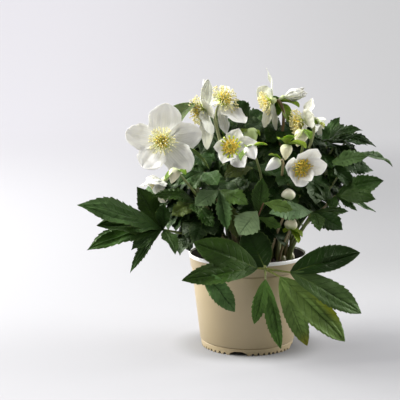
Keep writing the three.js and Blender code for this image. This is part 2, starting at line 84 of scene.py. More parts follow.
def direction(heading: float, elevation: float) -> Array:
    """Gives a unit vector from a compass heading.

    Args:
        heading: degrees from +X towards +Y.
        elevation: degrees above the horizontal.

    Returns:
        The vector.
    """
    flat = math.cos(math.radians(elevation))
    turn = math.radians(heading)
    return np.array([flat * math.cos(turn), flat * math.sin(turn), math.sin(math.radians(elevation))])


def standing_on(axis: Array) -> Array:
    """Returns the 3 by 3 turn that brings a shape made along +Z onto an axis."""
    right = unit(np.cross(UP, axis))
    return np.stack([right, np.cross(axis, right), axis], axis=1)


def smooth(low: float, high: float, value: Array) -> Array:
    """Returns 0 below low, 1 above high and an easy slope between them."""
    share = np.clip((value - low) / (high - low), 0, 1)
    return share * share * (3 - 2 * share)


class Tone(Enum):
    """The plant's greens, whites and browns, as linear colours.

    SHEEN_GREY, SHEEN_PALE and SHEEN_SILVER are lighter copies of the leaf green with painted sheen, and
    SUNLIT and SHADE are painted sunlit and shaded greens. SHADED_WHITE and SHADED_SHEER are copies of the
    sepal white darkened with painted shade.
    """

    DEEP = (0.009, 0.029, 0.004)
    LEAF = (0.021, 0.054, 0.007)
    SHADE = (0.005, 0.016, 0.003)
    # SHEEN_PALE, SHEEN_SILVER and SHEEN_GREY: lighter leaf greens with painted sheen.
    SHEEN_PALE = (0.085, 0.140, 0.060)
    SHEEN_SILVER = (0.150, 0.225, 0.110)
    SHEEN_GREY = (0.050, 0.100, 0.028)
    MOSS = (0.070, 0.138, 0.026)
    SUNLIT = (0.110, 0.195, 0.045)
    FRESH = (0.060, 0.130, 0.018)
    OLIVE = (0.050, 0.071, 0.015)
    SPRING = (0.115, 0.190, 0.016)
    LIME = (0.195, 0.265, 0.016)
    STALK = (0.120, 0.150, 0.035)
    SHOOT = (0.150, 0.175, 0.032)
    TAN = (0.240, 0.190, 0.095)
    PALE = (0.300, 0.320, 0.140)
    RED = (0.130, 0.045, 0.020)
    RUSSET = (0.150, 0.090, 0.035)
    WHITE = (0.720, 0.710, 0.665)
    BRIGHT = (0.860, 0.850, 0.795)
    # SHADED_WHITE and SHADED_SHEER: sepal whites darkened with painted shade, for sepals seen from behind or
    # against the light.
    SHADED_WHITE = (0.540, 0.540, 0.470)
    SHADED_SHEER = (0.520, 0.540, 0.460)
    IVORY = (0.880, 0.860, 0.680)
    CREAM = (0.740, 0.710, 0.500)
    GREENISH = (0.420, 0.520, 0.200)
    AMBER = (0.200, 0.185, 0.014)
    YELLOW = (0.235, 0.270, 0.012)


# ---- shapes in the making
@dataclass
class Shape:
    """A surface still being put together, in millimetres.

    points are its corners, corners the point that each face corner uses, face by face, sizes the
    number of corners of each face, grain where each face corner lies along and across the surface,
    tint the colour at each point, and finish which of the piece's finishes each face has.
    """

    points: Array
    corners: Array
    sizes: Array
    grain: Array
    tint: Array
    finish: Array

    @classmethod
    def of(cls, points: Array, corners: Array, sizes: Array) -> Shape:
        """Makes a white shape in its first finish, with no grain.

        Args:
            points: one row for each point.
            corners: point numbers, face by face.
            sizes: corners of each face.

        Returns:
            The shape.
        """
        return cls(points, corners, sizes, np.zeros((len(corners), 2)), np.ones((len(points), 3)),
                   np.zeros(len(sizes), int))

    @classmethod
    def read(cls, mesh: bpy.types.Mesh) -> Shape:
        """Reads a mesh in metres, its material numbers as its finishes.

        Args:
            mesh: what is read.

        Returns:
            Its shape.
        """
        points = np.empty(len(mesh.vertices) * 3, np.float32)
        mesh.vertices.foreach_get("co", points)
        corners = np.empty(len(mesh.loops), np.int32)
        mesh.loops.foreach_get("vertex_index", corners)
        sizes, finish = np.empty((2, len(mesh.polygons)), np.int32)
        mesh.polygons.foreach_get("loop_total", sizes)
        mesh.polygons.foreach_get("material_index", finish)
        return replace(cls.of(points.reshape(-1, 3).astype(float) / METRE, corners, sizes), finish=finish)

    @classmethod
    def joined(cls, shapes: Sequence[Shape]) -> Shape:
        """Puts several shapes into one.

        Args:
            shapes: what is joined.

        Returns:
            One shape with all of their faces.
        """
        starts = np.cumsum([0] + [len(s.points) for s in shapes[:-1]])
        return cls(
            np.concatenate([s.points for s in shapes]),
            np.concatenate([s.corners + start for s, start in zip(shapes, starts)]),
            *(np.concatenate([getattr(s, name) for s in shapes])
              for name in ("sizes", "grain", "tint", "finish")),
        )

    def moved(self, turn: Array, at: Array) -> Shape:
        """Returns the shape turned by a 3 by 3 matrix and then carried to a point."""
        return replace(self, points=self.points @ turn.T + at)

    def tinted(self, tone: Colour) -> Shape:
        """Returns the shape in one colour."""
        return replace(self, tint=np.tile(tone, (len(self.points), 1)))

    def finished(self, finish: int | Array) -> Shape:
        """Returns the shape with all its faces in one finish, or each in its own."""
        return replace(self, finish=np.broadcast_to(finish, len(self.sizes)).copy())

    def mesh(self, name: str, finishes: Sequence[Finish], sharp: float) -> bpy.types.Mesh:
        """Writes the shape as a mesh in metres.

        Args:
            name: the mesh's name.
            finishes: the finishes that the faces choose from.
            sharp: degrees between two faces beyond which their edge shows.

        Returns:
            The mesh.
        """
        mesh = bpy.data.meshes.new(name)
        starts = np.concatenate([[0], np.cumsum(self.sizes)[:-1]]).astype(np.int32)
        mesh.vertices.add(len(self.points))
        mesh.loops.add(len(self.corners))
        mesh.polygons.add(len(self.sizes))
        mesh.vertices.foreach_set("co", (self.points * METRE).astype(np.float32).ravel())
        mesh.loops.foreach_set("vertex_index", self.corners.astype(np.int32))
        mesh.polygons.foreach_set("loop_start", starts)
        mesh.polygons.foreach_set("material_index", self.finish.astype(np.int32))
        mesh.update(calc_edges=True)
        mesh.validate()
        grain = mesh.uv_layers.new(name="grain")
        grain.uv.foreach_set("vector", self.grain.astype(np.float32).ravel())
        tint = mesh.attributes.new("tint", "FLOAT_COLOR", "POINT")
        colours = np.concatenate([self.tint, np.ones((len(self.points), 1))], axis=1)
        tint.data.foreach_set("color", colours.astype(np.float32).ravel())
        for finish in finishes:
            mesh.materials.append(finish.material())
        mesh.shade_smooth()
        mesh.set_sharp_from_angle(angle=math.radians(sharp))
        return mesh


def quads_over(grid: Array) -> Array:
    """Returns the four corners of every face between a grid's rows and columns."""
    return np.stack([grid[:-1, :-1], grid[:-1, 1:], grid[1:, 1:], grid[1:, :-1]], axis=-1).reshape(-1, 4)


def sheet(middle: Array, normal: Array, thickness: Array, along: Array,
          across: Array, tint: Array) -> Shape:
    """Closes a grid of points into a thin solid, thick in the middle and sharp at the border.

    Args:
        middle: rows by columns of points halfway through the sheet.
        normal: the upper side's normal at each.
        thickness: the thickness at each.
        along: the share of the length at each.
        across: from -1 at one margin to 1 at the other, at each.
        tint: the colour at each.

    Returns:
        The solid. The grain of its under side is 2 further along.
    """
    inner = np.zeros(thickness.shape, bool)
    inner[1:-1, 1:-1] = True
    half = np.where(inner, thickness / 2, 0)[..., None]
    top = np.arange(inner.size).reshape(inner.shape)
    under = top.copy()
    under[inner] = inner.size + np.arange(inner.sum())
    place, grain = quads_over(top), np.stack([along, across], axis=-1).reshape(-1, 2)
    return Shape(
        np.concatenate([(middle + half * normal).reshape(-1, 3), (middle - half * normal)[inner]]),
        np.concatenate([place, quads_over(under)[:, ::-1]]).ravel(),
        np.full(2 * len(place), 4),
        np.concatenate([grain[place].reshape(-1, 2), grain[place[:, ::-1]].reshape(-1, 2) + (2, 0)]),
        np.concatenate([tint.reshape(-1, 3), tint[inner]]),
        np.zeros(2 * len(place), int),
    )


def lathe(profile: Sequence[tuple[float, float]], sides: int) -> Shape:
    """Turns a profile about +Z into a solid.

    Args:
        profile: its points as (radius, height), from the foot up its outside. One at radius 0 becomes
            a pole, and a profile that doesn't start at the axis closes on its own start.
        sides: how many sides the solid has.

    Returns:
        The solid.
    """
    angles = np.arange(sides) * 2 * math.pi / sides
    rings, points = [], []
    for radius, height in profile:
        start = sum(len(p) for p in points)
        if radius == 0:
            points.append(np.array([[0, 0, height]]))
            rings.append(np.full(sides, start))
        else:
            ring = [radius * np.cos(angles), radius * np.sin(angles), np.full(sides, height)]
            points.append(np.stack(ring, axis=1))
            rings.append(start + np.arange(sides))
    faces = []
    closed = profile[0][0] > 0
    for low, high in zip(rings, rings[1:] + (rings[:1] if closed else [])):
        for i in range(sides):
            j = (i + 1) % sides
            corners = list(dict.fromkeys((low[i], low[j], high[j], high[i])))
            if len(corners) > 2:
                faces.append(corners)
    return Shape.of(np.concatenate(points), np.concatenate(faces), np.array([len(f) for f in faces]))


# ---- nodes
class Wiring:
    """Adds nodes to a node tree and wires them up by the names of their sockets."""

    KIND = "GeometryNode"

    def __init__(self, tree: bpy.types.NodeTree) -> None:
        """Takes the tree that the nodes go into."""
        self.nodes, self.links = tree.nodes, tree.links

    def put(self, target: Socket, value: Any) -> None:
        """Links a socket to a value's socket or sockets, or sets it to the value.

        Args:
            target: the socket that takes it.
            value: a socket, a list of sockets, or a plain value. A colour is made opaque.
        """
        if isinstance(value, list):
            for one in value:
                self.put(target, one)
        elif isinstance(value, Socket):
            self.links.new(value, target)
        elif isinstance(value, tuple) and len(value) == 3 and len(target.default_value) == 4:
            target.default_value = (*value, 1.0)
        else:
            target.default_value = value

    def node(self, kind: str, settings: dict[str, Any] | None = None, **inputs: Any) -> bpy.types.Node:
        """Adds a node.

        Args:
            kind: its type, in full or without the word that this tree's own nodes start with.
            settings: its own properties.
            **inputs: its sockets, by name with _ for a space. A list links every one of its
                sockets into the same input.

        Returns:
            The node.
        """
        made = self.nodes.new(kind if "Node" in kind else self.KIND + kind)
        for name, value in (settings or {}).items():
            setattr(made, name, value)
        for name, value in inputs.items():
            self.put(made.inputs[name.replace("_", " ")], value)
        return made

    def math(self, operation: str, *numbers: Any) -> Socket:
        """Adds a sum on numbers.

        Args:
            operation: the sum's name.
            *numbers: what it works on.

        Returns:
            Its result.
        """
        made = self.node("ShaderNodeMath", {"operation": operation})
        for socket, number in zip(made.inputs, numbers):
            self.put(socket, number)
        return made.outputs[0]

    def plus(self, a: Any, b: Any) -> Socket:
        """Returns a + b."""
        return self.math("ADD", a, b)

    def less(self, a: Any, b: Any) -> Socket:
        """Returns a - b."""
        return self.math("SUBTRACT", a, b)

    def times(self, a: Any, b: Any) -> Socket:
        """Returns a times b."""
        return self.math("MULTIPLY", a, b)


# ---- finishes
@dataclass(frozen=True)
class Mottle:
    """Soft patches that come from noise.

    They are at_low where the noise is below low and at_high where it is above high. scale says how
    small they are, detail how rough, and stretch how close they stand along x, y and z.
    """

    scale: float
    low: float
    high: float
    at_low: float = 0.0
    at_high: float = 1.0
    detail: float = 3.0
    stretch: Colour | None = None


@dataclass(frozen=True)
class Wash:
    """A colour laid over another, and how strongly."""

    colour: Colour
    share: float


class Weave(Wiring):
    """Puts the nodes of one material together."""

    KIND = "ShaderNode"
    # Where a mix node keeps its colours among its sockets.
    MIX_A, MIX_B, MIX_RESULT = 6, 7, 2

    def __init__(self, name: str) -> None:
        """Starts an empty material.

        Args:
            name: the material's name.
        """
        self.material = bpy.data.materials.new(name)
        self.material.use_nodes = True
        super().__init__(self.material.node_tree)
        self.nodes.clear()

    def mix(self, share: Any, a: Any, b: Any, blend: str = "MIX") -> Socket:
        """Adds a mix of two colours.

        Args:
            share: how much of the second one it takes.
            a: the first colour.
            b: the second colour.
            blend: how they are mixed.

        Returns:
            The mix.
        """
        made = self.node("Mix", {"data_type": "RGBA", "blend_type": blend})
        for number, value in ((0, share), (self.MIX_A, a), (self.MIX_B, b)):
            self.put(made.inputs[number], value)
        return made.outputs[self.MIX_RESULT]

    def shaded(self, colour: Any, level: Socket) -> Socket:
        """Returns a colour made lighter or darker by a level."""
        return self.mix(1.0, colour, level, "MULTIPLY")

    def washed(self, colour: Socket, *washes: tuple[Wash, Socket]) -> Socket:
        """Lays washes over a colour in turn.

        Args:
            colour: what lies below.
            *washes: each wash with the socket that says where it lies.

        Returns:
            The colour with all of them on it.
        """
        for wash, where in washes:
            colour = self.mix(self.times(where, wash.share), colour, wash.colour)
        return colour

    def slope(self, value: Any, low: float, high: float, at_low: float = 0.0, at_high: float = 1.0) -> Socket:
        """Adds a smooth step.

        Args:
            value: what is read.
            low: the value where the step starts.
            high: the value where it ends.
            at_low: the result at its start.
            at_high: the result at its end.

        Returns:
            The result.
        """
        made = self.node("MapRange", {"interpolation_type": "SMOOTHSTEP"})
        for socket, number in zip(made.inputs, (value, low, high, at_low, at_high)):
            self.put(socket, number)
        return made.outputs[0]

    def place(self) -> Socket:
        """Returns the object's own coordinates."""
        return self.node("TexCoord").outputs["Object"]

    def axes(self) -> tuple[Socket, Socket, Socket]:
        """Returns the object's own x, y and z."""
        return tuple(self.node("SeparateXYZ", Vector=self.place()).outputs)

    def off_axis(self, x: Socket, y: Socket) -> Socket:
        """Returns how far a place is from the z axis."""
        return self.math("SQRT", self.plus(self.times(x, x), self.times(y, y)))

    def noise(self, scale: float, detail: float = 3.0, stretch: Colour | None = None) -> Socket:
        """Adds noise on the object's own coordinates.

        Args:
            scale: how fine it is.
            detail: how many finer layers it has.
            stretch: the scale along each axis, where they differ.

        Returns:
            A number from 0 to 1.
        """
        place = self.place()
        if stretch:
            place = self.node("Mapping", Vector=place, Scale=stretch).outputs[0]
        return self.node("TexNoise", Vector=place, Scale=scale, Detail=detail).outputs[0]

    def mottle(self, mottle: Mottle) -> Socket:
        """Returns the level of soft patches."""
        noise = self.noise(mottle.scale, mottle.detail, mottle.stretch)
        return self.slope(noise, mottle.low, mottle.high, mottle.at_low, mottle.at_high)

    def wander(self, scale: float, reach: float) -> Socket:
        """Returns a number that strays from 0 by up to half of reach either way."""
        return self.times(self.less(self.noise(scale), 0.5), reach)

    def grain(self) -> tuple[Socket, Socket, Socket]:
        """Reads the surface's grain.

        Returns:
            How far along it is, how far across, and 1 on the under side.
        """
        parts = self.node("SeparateXYZ", Vector=self.node("UVMap", {"uv_map": "grain"}).outputs[0])
        under = self.math("GREATER_THAN", parts.outputs[0], 1.5)
        along = self.less(parts.outputs[0], self.times(under, 2.0))
        return along, parts.outputs[1], under

    def tint(self) -> Socket:
        """Returns the colour that the piece's points hold."""
        return self.node("Attribute", {"attribute_name": "tint"}).outputs["Color"]

    def bump(self, height: Socket, strength: float, depth_mm: float) -> Socket:
        """Adds bumps of that depth and returns their normal."""
        return self.node("Bump", Height=height, Strength=strength, Distance=depth_mm * METRE).outputs[0]

    def surface(self, **inputs: Any) -> bpy.types.Material:
        """Ends the material in one surface.

        Args:
            **inputs: the surface's inputs, by name with _ for a space.

        Returns:
            The material.
        """
        shader = self.node("BsdfPrincipled", **inputs)
        self.links.new(shader.outputs[0], self.node("OutputMaterial").inputs[0])
        return self.material


@dataclass(frozen=True)
class Finish:
    """A finish, whose material is made once."""

    name: str

    @lru_cache(maxsize=None)
    def material(self) -> bpy.types.Material:
        """Returns the finish as a material."""
        return self.weave(Weave(self.name))

    def weave(self, weave: Weave) -> bpy.types.Material:
        """Builds the material's nodes."""
        raise NotImplementedError


@dataclass(frozen=True)
class LeafFinish(Finish):
    """Leathery green, with side veins sweeping forward and a duller under side. The midrib is pale at its
    foot; beyond it the midrib and the side veins are darkened with painted shade in their sunken grooves, and
    the margins are lightened with a painted highlight.

    veins is how many side veins it has along its length, sweep how far they run forward to the margin,
    cells how fine the net between them is, and thin how much light comes through.
    """

    veins: float = 9.0
    sweep: float = 1.1
    cells: float = 520.0
    roughness: float = 0.42
    under_roughness: float = 0.18
    thin: float = 0.0
    blotch: Mottle = Mottle(38.0, 0.3, 0.7, 0.70, 1.32)
    speckle: Mottle = Mottle(260.0, 0.3, 0.7, 0.92, 1.08, 2.0)
    net: Wash = Wash((0.010, 0.024, 0.004), 0.10)
    # vein and midrib: painted shade in the grooves of the side veins and of the midrib beyond its foot.
    vein: Wash = Wash((0.008, 0.022, 0.004), 0.38)
    midrib: Wash = Wash((0.006, 0.016, 0.003), 0.55)
    midrib_foot: Wash = Wash((0.16, 0.23, 0.04), 0.55)
    # margin: a painted highlight along the margins.
    margin: Wash = Wash((0.12, 0.18, 0.045), 0.35)
    under_side: Wash = Wash((0.13, 0.19, 0.07), 0.45)
    under_share: float = 0.6
    gloss: Colour = (0.78, 1.0, 0.52)
    glow: Colour = (0.6, 1.0, 0.15)

    def weave(self, weave: Weave) -> bpy.types.Material:
        """Builds the material's nodes.

        Args:
            weave: the nodes of the material.

        Returns:
            The material.
        """
        along, across, under = weave.grain()
        side = weave.math("ABSOLUTE", across)
        vein = self.side_veins(weave, along, side)
        cells = weave.node("TexVoronoi", {"feature": "DISTANCE_TO_EDGE"}, Vector=weave.place(),
                           Scale=self.cells).outputs[0]
        net = weave.slope(cells, 0.0, 0.12, 1.0, 0.0)
        midrib = weave.slope(side, 0.02, 0.07, 1.0, 0.0)
        tint = weave.tint()
        # The vein and midrib washes are painted shade in their grooves, and the margin wash a painted
        # highlight.
        green = weave.washed(
            weave.shaded(tint, weave.times(weave.mottle(self.blotch), weave.mottle(self.speckle))),
            (self.net, net), (self.vein, vein),
            (self.midrib, weave.times(midrib, weave.slope(along, 0.2, 0.6))),
            (self.midrib_foot, weave.times(midrib, weave.slope(along, 0.5, 0.0))),
            (self.margin, weave.slope(side, 0.93, 0.98)))
        below = weave.mix(self.under_side.share, tint, self.under_side.colour)
        green = weave.mix(weave.times(under, self.under_share), green, below)
        relief = weave.less(weave.times(weave.noise(300.0, 2.0), 0.25),
                            weave.plus(weave.times(vein, 0.8), weave.times(net, 0.2)))
        polish = Mottle(90.0, 0.3, 0.7, self.roughness - 0.05, self.roughness + 0.08)
        rough = weave.plus(weave.times(under, self.under_roughness), weave.mottle(polish))
        return weave.surface(
            Base_Color=green, Roughness=rough, Specular_IOR_Level=0.22, Specular_Tint=self.gloss,
            Subsurface_Weight=self.thin, Subsurface_Scale=0.002, Subsurface_Radius=self.glow,
            Normal=weave.bump(relief, 0.7, 0.6))

    def side_veins(self, weave: Weave, along: Socket, side: Socket) -> Socket:
        """Draws the side veins.

        Args:
            weave: what the nodes go into.
            along: the share of the length.
            side: the share of the half width.

        Returns:
            1 on a vein, fading to 0 beside it and near the margin.
        """
        step = weave.less(weave.times(along, self.veins), weave.times(side, self.sweep))
        phase = weave.math("FRACT", weave.plus(weave.plus(step, weave.wander(70.0, 0.5)), 4.0))
        from_vein = weave.math("ABSOLUTE", weave.less(phase, 0.5))
        return weave.times(weave.slope(from_vein, 0.38, 0.5), weave.slope(side, 0.98, 0.5))


@dataclass(frozen=True)
class SepalFinish(Finish):
    """White and thin, greenish at its foot, with fine veins running along it."""

    depth_mm: float = 3.0
    veins: float = 6.5
    patch: Mottle = Mottle(35.0, 0.35, 0.7, 0.965, 1.02)
    vein: Wash = Wash((0.48, 0.49, 0.41), 0.30)
    foot: Wash = Wash((0.60, 0.66, 0.34), 0.55)
    under_side: Wash = Wash((0.70, 0.72, 0.58), 0.25)
    glow: Colour = (1.0, 0.95, 0.8)

    def weave(self, weave: Weave) -> bpy.types.Material:
        """Builds the material's nodes.

        Args:
            weave: the nodes of the material.

        Returns:
            The material.
        """
        along, across, under = weave.grain()
        lane = weave.plus(weave.plus(across, weave.wander(60.0, 0.16)), 2.0)
        stripe = weave.math("FRACT", weave.times(lane, self.veins))
        vein = weave.slope(weave.math("ABSOLUTE", weave.less(stripe, 0.5)), 0.30, 0.5)
        vein = weave.times(vein, weave.slope(along, 0.95, 0.3))
        white = weave.washed(
            weave.shaded(weave.tint(), weave.mottle(self.patch)),
            (self.vein, vein), (self.foot, weave.slope(along, 0.30, 0.02)), (self.under_side, under))
        relief = weave.plus(weave.times(vein, -0.8), weave.noise(160.0))
        return weave.surface(
            Base_Color=white, Roughness=0.5, Normal=weave.bump(relief, 0.4, 0.5), Subsurface_Weight=0.35,
            Subsurface_Scale=self.depth_mm * METRE, Subsurface_Radius=self.glow)


@dataclass(frozen=True)
class StalkFinish(Finish):
    """Green stalk with fine long streaks and darker specks."""

    roughness: float = 0.42
    streak: Mottle = Mottle(420.0, 0.35, 0.65, 0.78, 1.22, stretch=(1.0, 1.0, 0.08))
    speck: Mottle = Mottle(900.0, 0.62, 0.72, detail=2.0)
    specks: Wash = Wash((0.10, 0.05, 0.03), 0.4)

    def weave(self, weave: Weave) -> bpy.types.Material:
        """Builds the material's nodes.

        Args:
            weave: the nodes of the material.

        Returns:
            The material.
        """
        streak = weave.mottle(self.streak)
        green = weave.washed(weave.shaded(weave.tint(), streak), (self.specks, weave.mottle(self.speck)))
        bumps = weave.bump(streak, 0.35, 0.25)
        return weave.surface(Base_Color=green, Roughness=self.roughness, Normal=bumps)


@dataclass(frozen=True)
class SoftFinish(Finish):
    """A small soft thing in the colour of its points, such as an anther, nectary or filament."""

    roughness: float = 0.6
    patch: Mottle = Mottle(900.0, 0.35, 0.65, 0.85, 1.1)

    def weave(self, weave: Weave) -> bpy.types.Material:
        """Builds the material's nodes.

        Args:
            weave: the nodes of the material.

        Returns:
            The material.
        """
        patch = weave.mottle(self.patch)
        return weave.surface(Base_Color=weave.shaded(weave.tint(), patch), Roughness=self.roughness,
                             Normal=weave.bump(patch, 0.3, 0.2))


@dataclass(frozen=True)
class PotFinish(Finish):
    """Moulded plastic, coloured outside and white inside up over the lip.

    The middle of the wall is at wall_radius on the ground and goes out by slope_out. It is white
    inside above white_from, and all over above white_above. Inside, it is darkened from stain_top
    down, fully below stain_full, partly by soil staining from the potting mix and partly by painted
    shade deep in the pot. Heights are in millimetres.
    """

    outside: Colour = (0.368, 0.290, 0.163)
    inside: Colour = (0.80, 0.79, 0.77)
    # Near black: partly soil staining, partly painted shade deep inside the pot.
    soil_stain_and_shade: Colour = (0.020, 0.011, 0.009)
    wall_radius: float = 47.6 - 0.6 * 1.6
    slope_out: float = 0.12
    white_from: float = 9.0
    white_above: float = 93.4
    stain_top: float = 96.4
    stain_full: float = 95.0
    stain_and_shade_share: float = 0.96
    stain_roughness: float = 0.4
    grime: Mottle = Mottle(22.0, 0.35, 0.75, 0.96, 1.02, 4.0)
    scuffs: Mottle = Mottle(60.0, 0.3, 0.7, 0.38, 0.46)

    def weave(self, weave: Weave) -> bpy.types.Material:
        """Builds the material's nodes.

        Args:
            weave: the nodes of the material.

        Returns:
            The material.
        """
        x, y, z = weave.axes()
        middle = weave.plus(weave.times(z, self.slope_out), self.wall_radius * METRE)
        is_inside = weave.times(weave.math("LESS_THAN", weave.off_axis(x, y), middle),
                                weave.math("GREATER_THAN", z, self.white_from * METRE))
        is_lip = weave.math("GREATER_THAN", z, self.white_above * METRE)
        # Soil staining and painted shade darken the inside from stain_top down.
        reach = weave.slope(z, self.stain_top * METRE, self.stain_full * METRE, 0.0, self.stain_and_shade_share)
        stain = weave.times(is_inside, reach)
        pale = weave.mix(stain, self.inside, self.soil_stain_and_shade)
        colour = weave.mix(weave.math("MAXIMUM", is_inside, is_lip), self.outside, pale)
        rough = weave.plus(weave.mottle(self.scuffs), weave.times(stain, self.stain_roughness))
        return weave.surface(
            Base_Color=weave.shaded(colour, weave.mottle(self.grime)), Roughness=rough,
            Specular_IOR_Level=0.7, Normal=weave.bump(weave.noise(1500.0, 2.0), 0.12, 0.1))


@dataclass(frozen=True)
class SoilFinish(Finish):
    """Damp potting mix, dark with a few lighter fibres."""

    dark: Colour = (0.010, 0.005, 0.005)
    light: Colour = (0.060, 0.028, 0.022)
    fibre: Mottle = Mottle(700.0, 0.60, 0.72, stretch=(1.0, 0.25, 1.0))
    fibres: Wash = Wash((0.15, 0.09, 0.055), 0.5)

    def weave(self, weave: Weave) -> bpy.types.Material:
        """Builds the material's nodes.

        Args:
            weave: the nodes of the material.

        Returns:
            The material.
        """
        lumps = weave.noise(260.0, 5.0)
        brown = weave.mix(weave.slope(lumps, 0.35, 0.7), self.dark, self.light)
        brown = weave.washed(brown, (self.fibres, weave.mottle(self.fibre)))
        return weave.surface(Base_Color=brown, Roughness=0.85, Normal=weave.bump(lumps, 0.9, 1.5))


@dataclass(frozen=True)
class PaperFinish(Finish):
    """The studio's plain backdrop, lit by the lamps and glowing with painted light besides, more on its left.

    Its painted glow runs from left and right near the plant to far_left and far_right further away, is
    darkened by a painted shadow behind the plant on the right, and fades towards the camera and to painted
    shade under and round the pot's foot. Places are in metres.
    """

    colour: Colour = (0.22, 0.22, 0.225)
    left: Colour = (0.275, 0.27, 0.29)
    right: Colour = (0.19, 0.19, 0.195)
    far_left: Colour = (0.66, 0.645, 0.685)
    far_right: Colour = (0.42, 0.42, 0.422)
    # A painted shadow: darkens the glow behind the plant on the right.
    painted_shadow: Wash = Wash((0.0, 0.0, 0.0), 0.75)
    front_glow: float = 0.22

    def weave(self, weave: Weave) -> bpy.types.Material:
        """Builds the material's nodes.

        Args:
            weave: the nodes of the material.

        Returns:
            The material.
        """
        x, y, _ = weave.axes()
        away = weave.off_axis(x, y)
        near = weave.mix(weave.slope(x, -0.5, 0.5), self.left, self.right)
        far = weave.mix(weave.slope(x, -0.9, 0.9), self.far_left, self.far_right)
        behind = weave.times(weave.slope(x, -0.3, 0.3), weave.slope(y, 0.05, 0.5))
        painted_shadow = weave.times(behind, weave.slope(away, 2.4, 0.9))
        glow = weave.washed(weave.mix(weave.slope(away, 0.4, 3.0), near, far), (self.painted_shadow, painted_shadow))
        # The painted glow fades towards the camera and goes out under and round the pot's foot, as painted
        # shade where the pot stands.
        level = weave.times(weave.slope(y, -1.2, -0.25, self.front_glow, 1.0),
                            weave.slope(away, 0.044, 0.085))
        return weave.surface(Base_Color=self.colour, Roughness=0.9, Emission_Color=glow,
                             Emission_Strength=level)


LEAF_GREEN = LeafFinish("leaf_green")
BRACT_GREEN = LeafFinish("bract_green", veins=6.0, roughness=0.5, thin=0.35)
PETIOLE_GREEN = StalkFinish("stalk_green")
SEPAL_WHITE = SepalFinish("sepal_white")
BUD_CREAM = SepalFinish("bud_cream", depth_mm=2.0)
FILAMENT = SoftFinish("filament_pale", roughness=0.5)
ANTHER = SoftFinish("anther_cream", roughness=0.8, patch=Mottle(900.0, 0.35, 0.65, 0.75, 1.15))
NECTARY = SoftFinish("nectary_lime", roughness=0.35)
POT_PLASTIC = PotFinish("pot_plastic")
SOIL = SoilFinish("potting_mix_damp")
PAPER = PaperFinish("studio_paper_painted_glow")


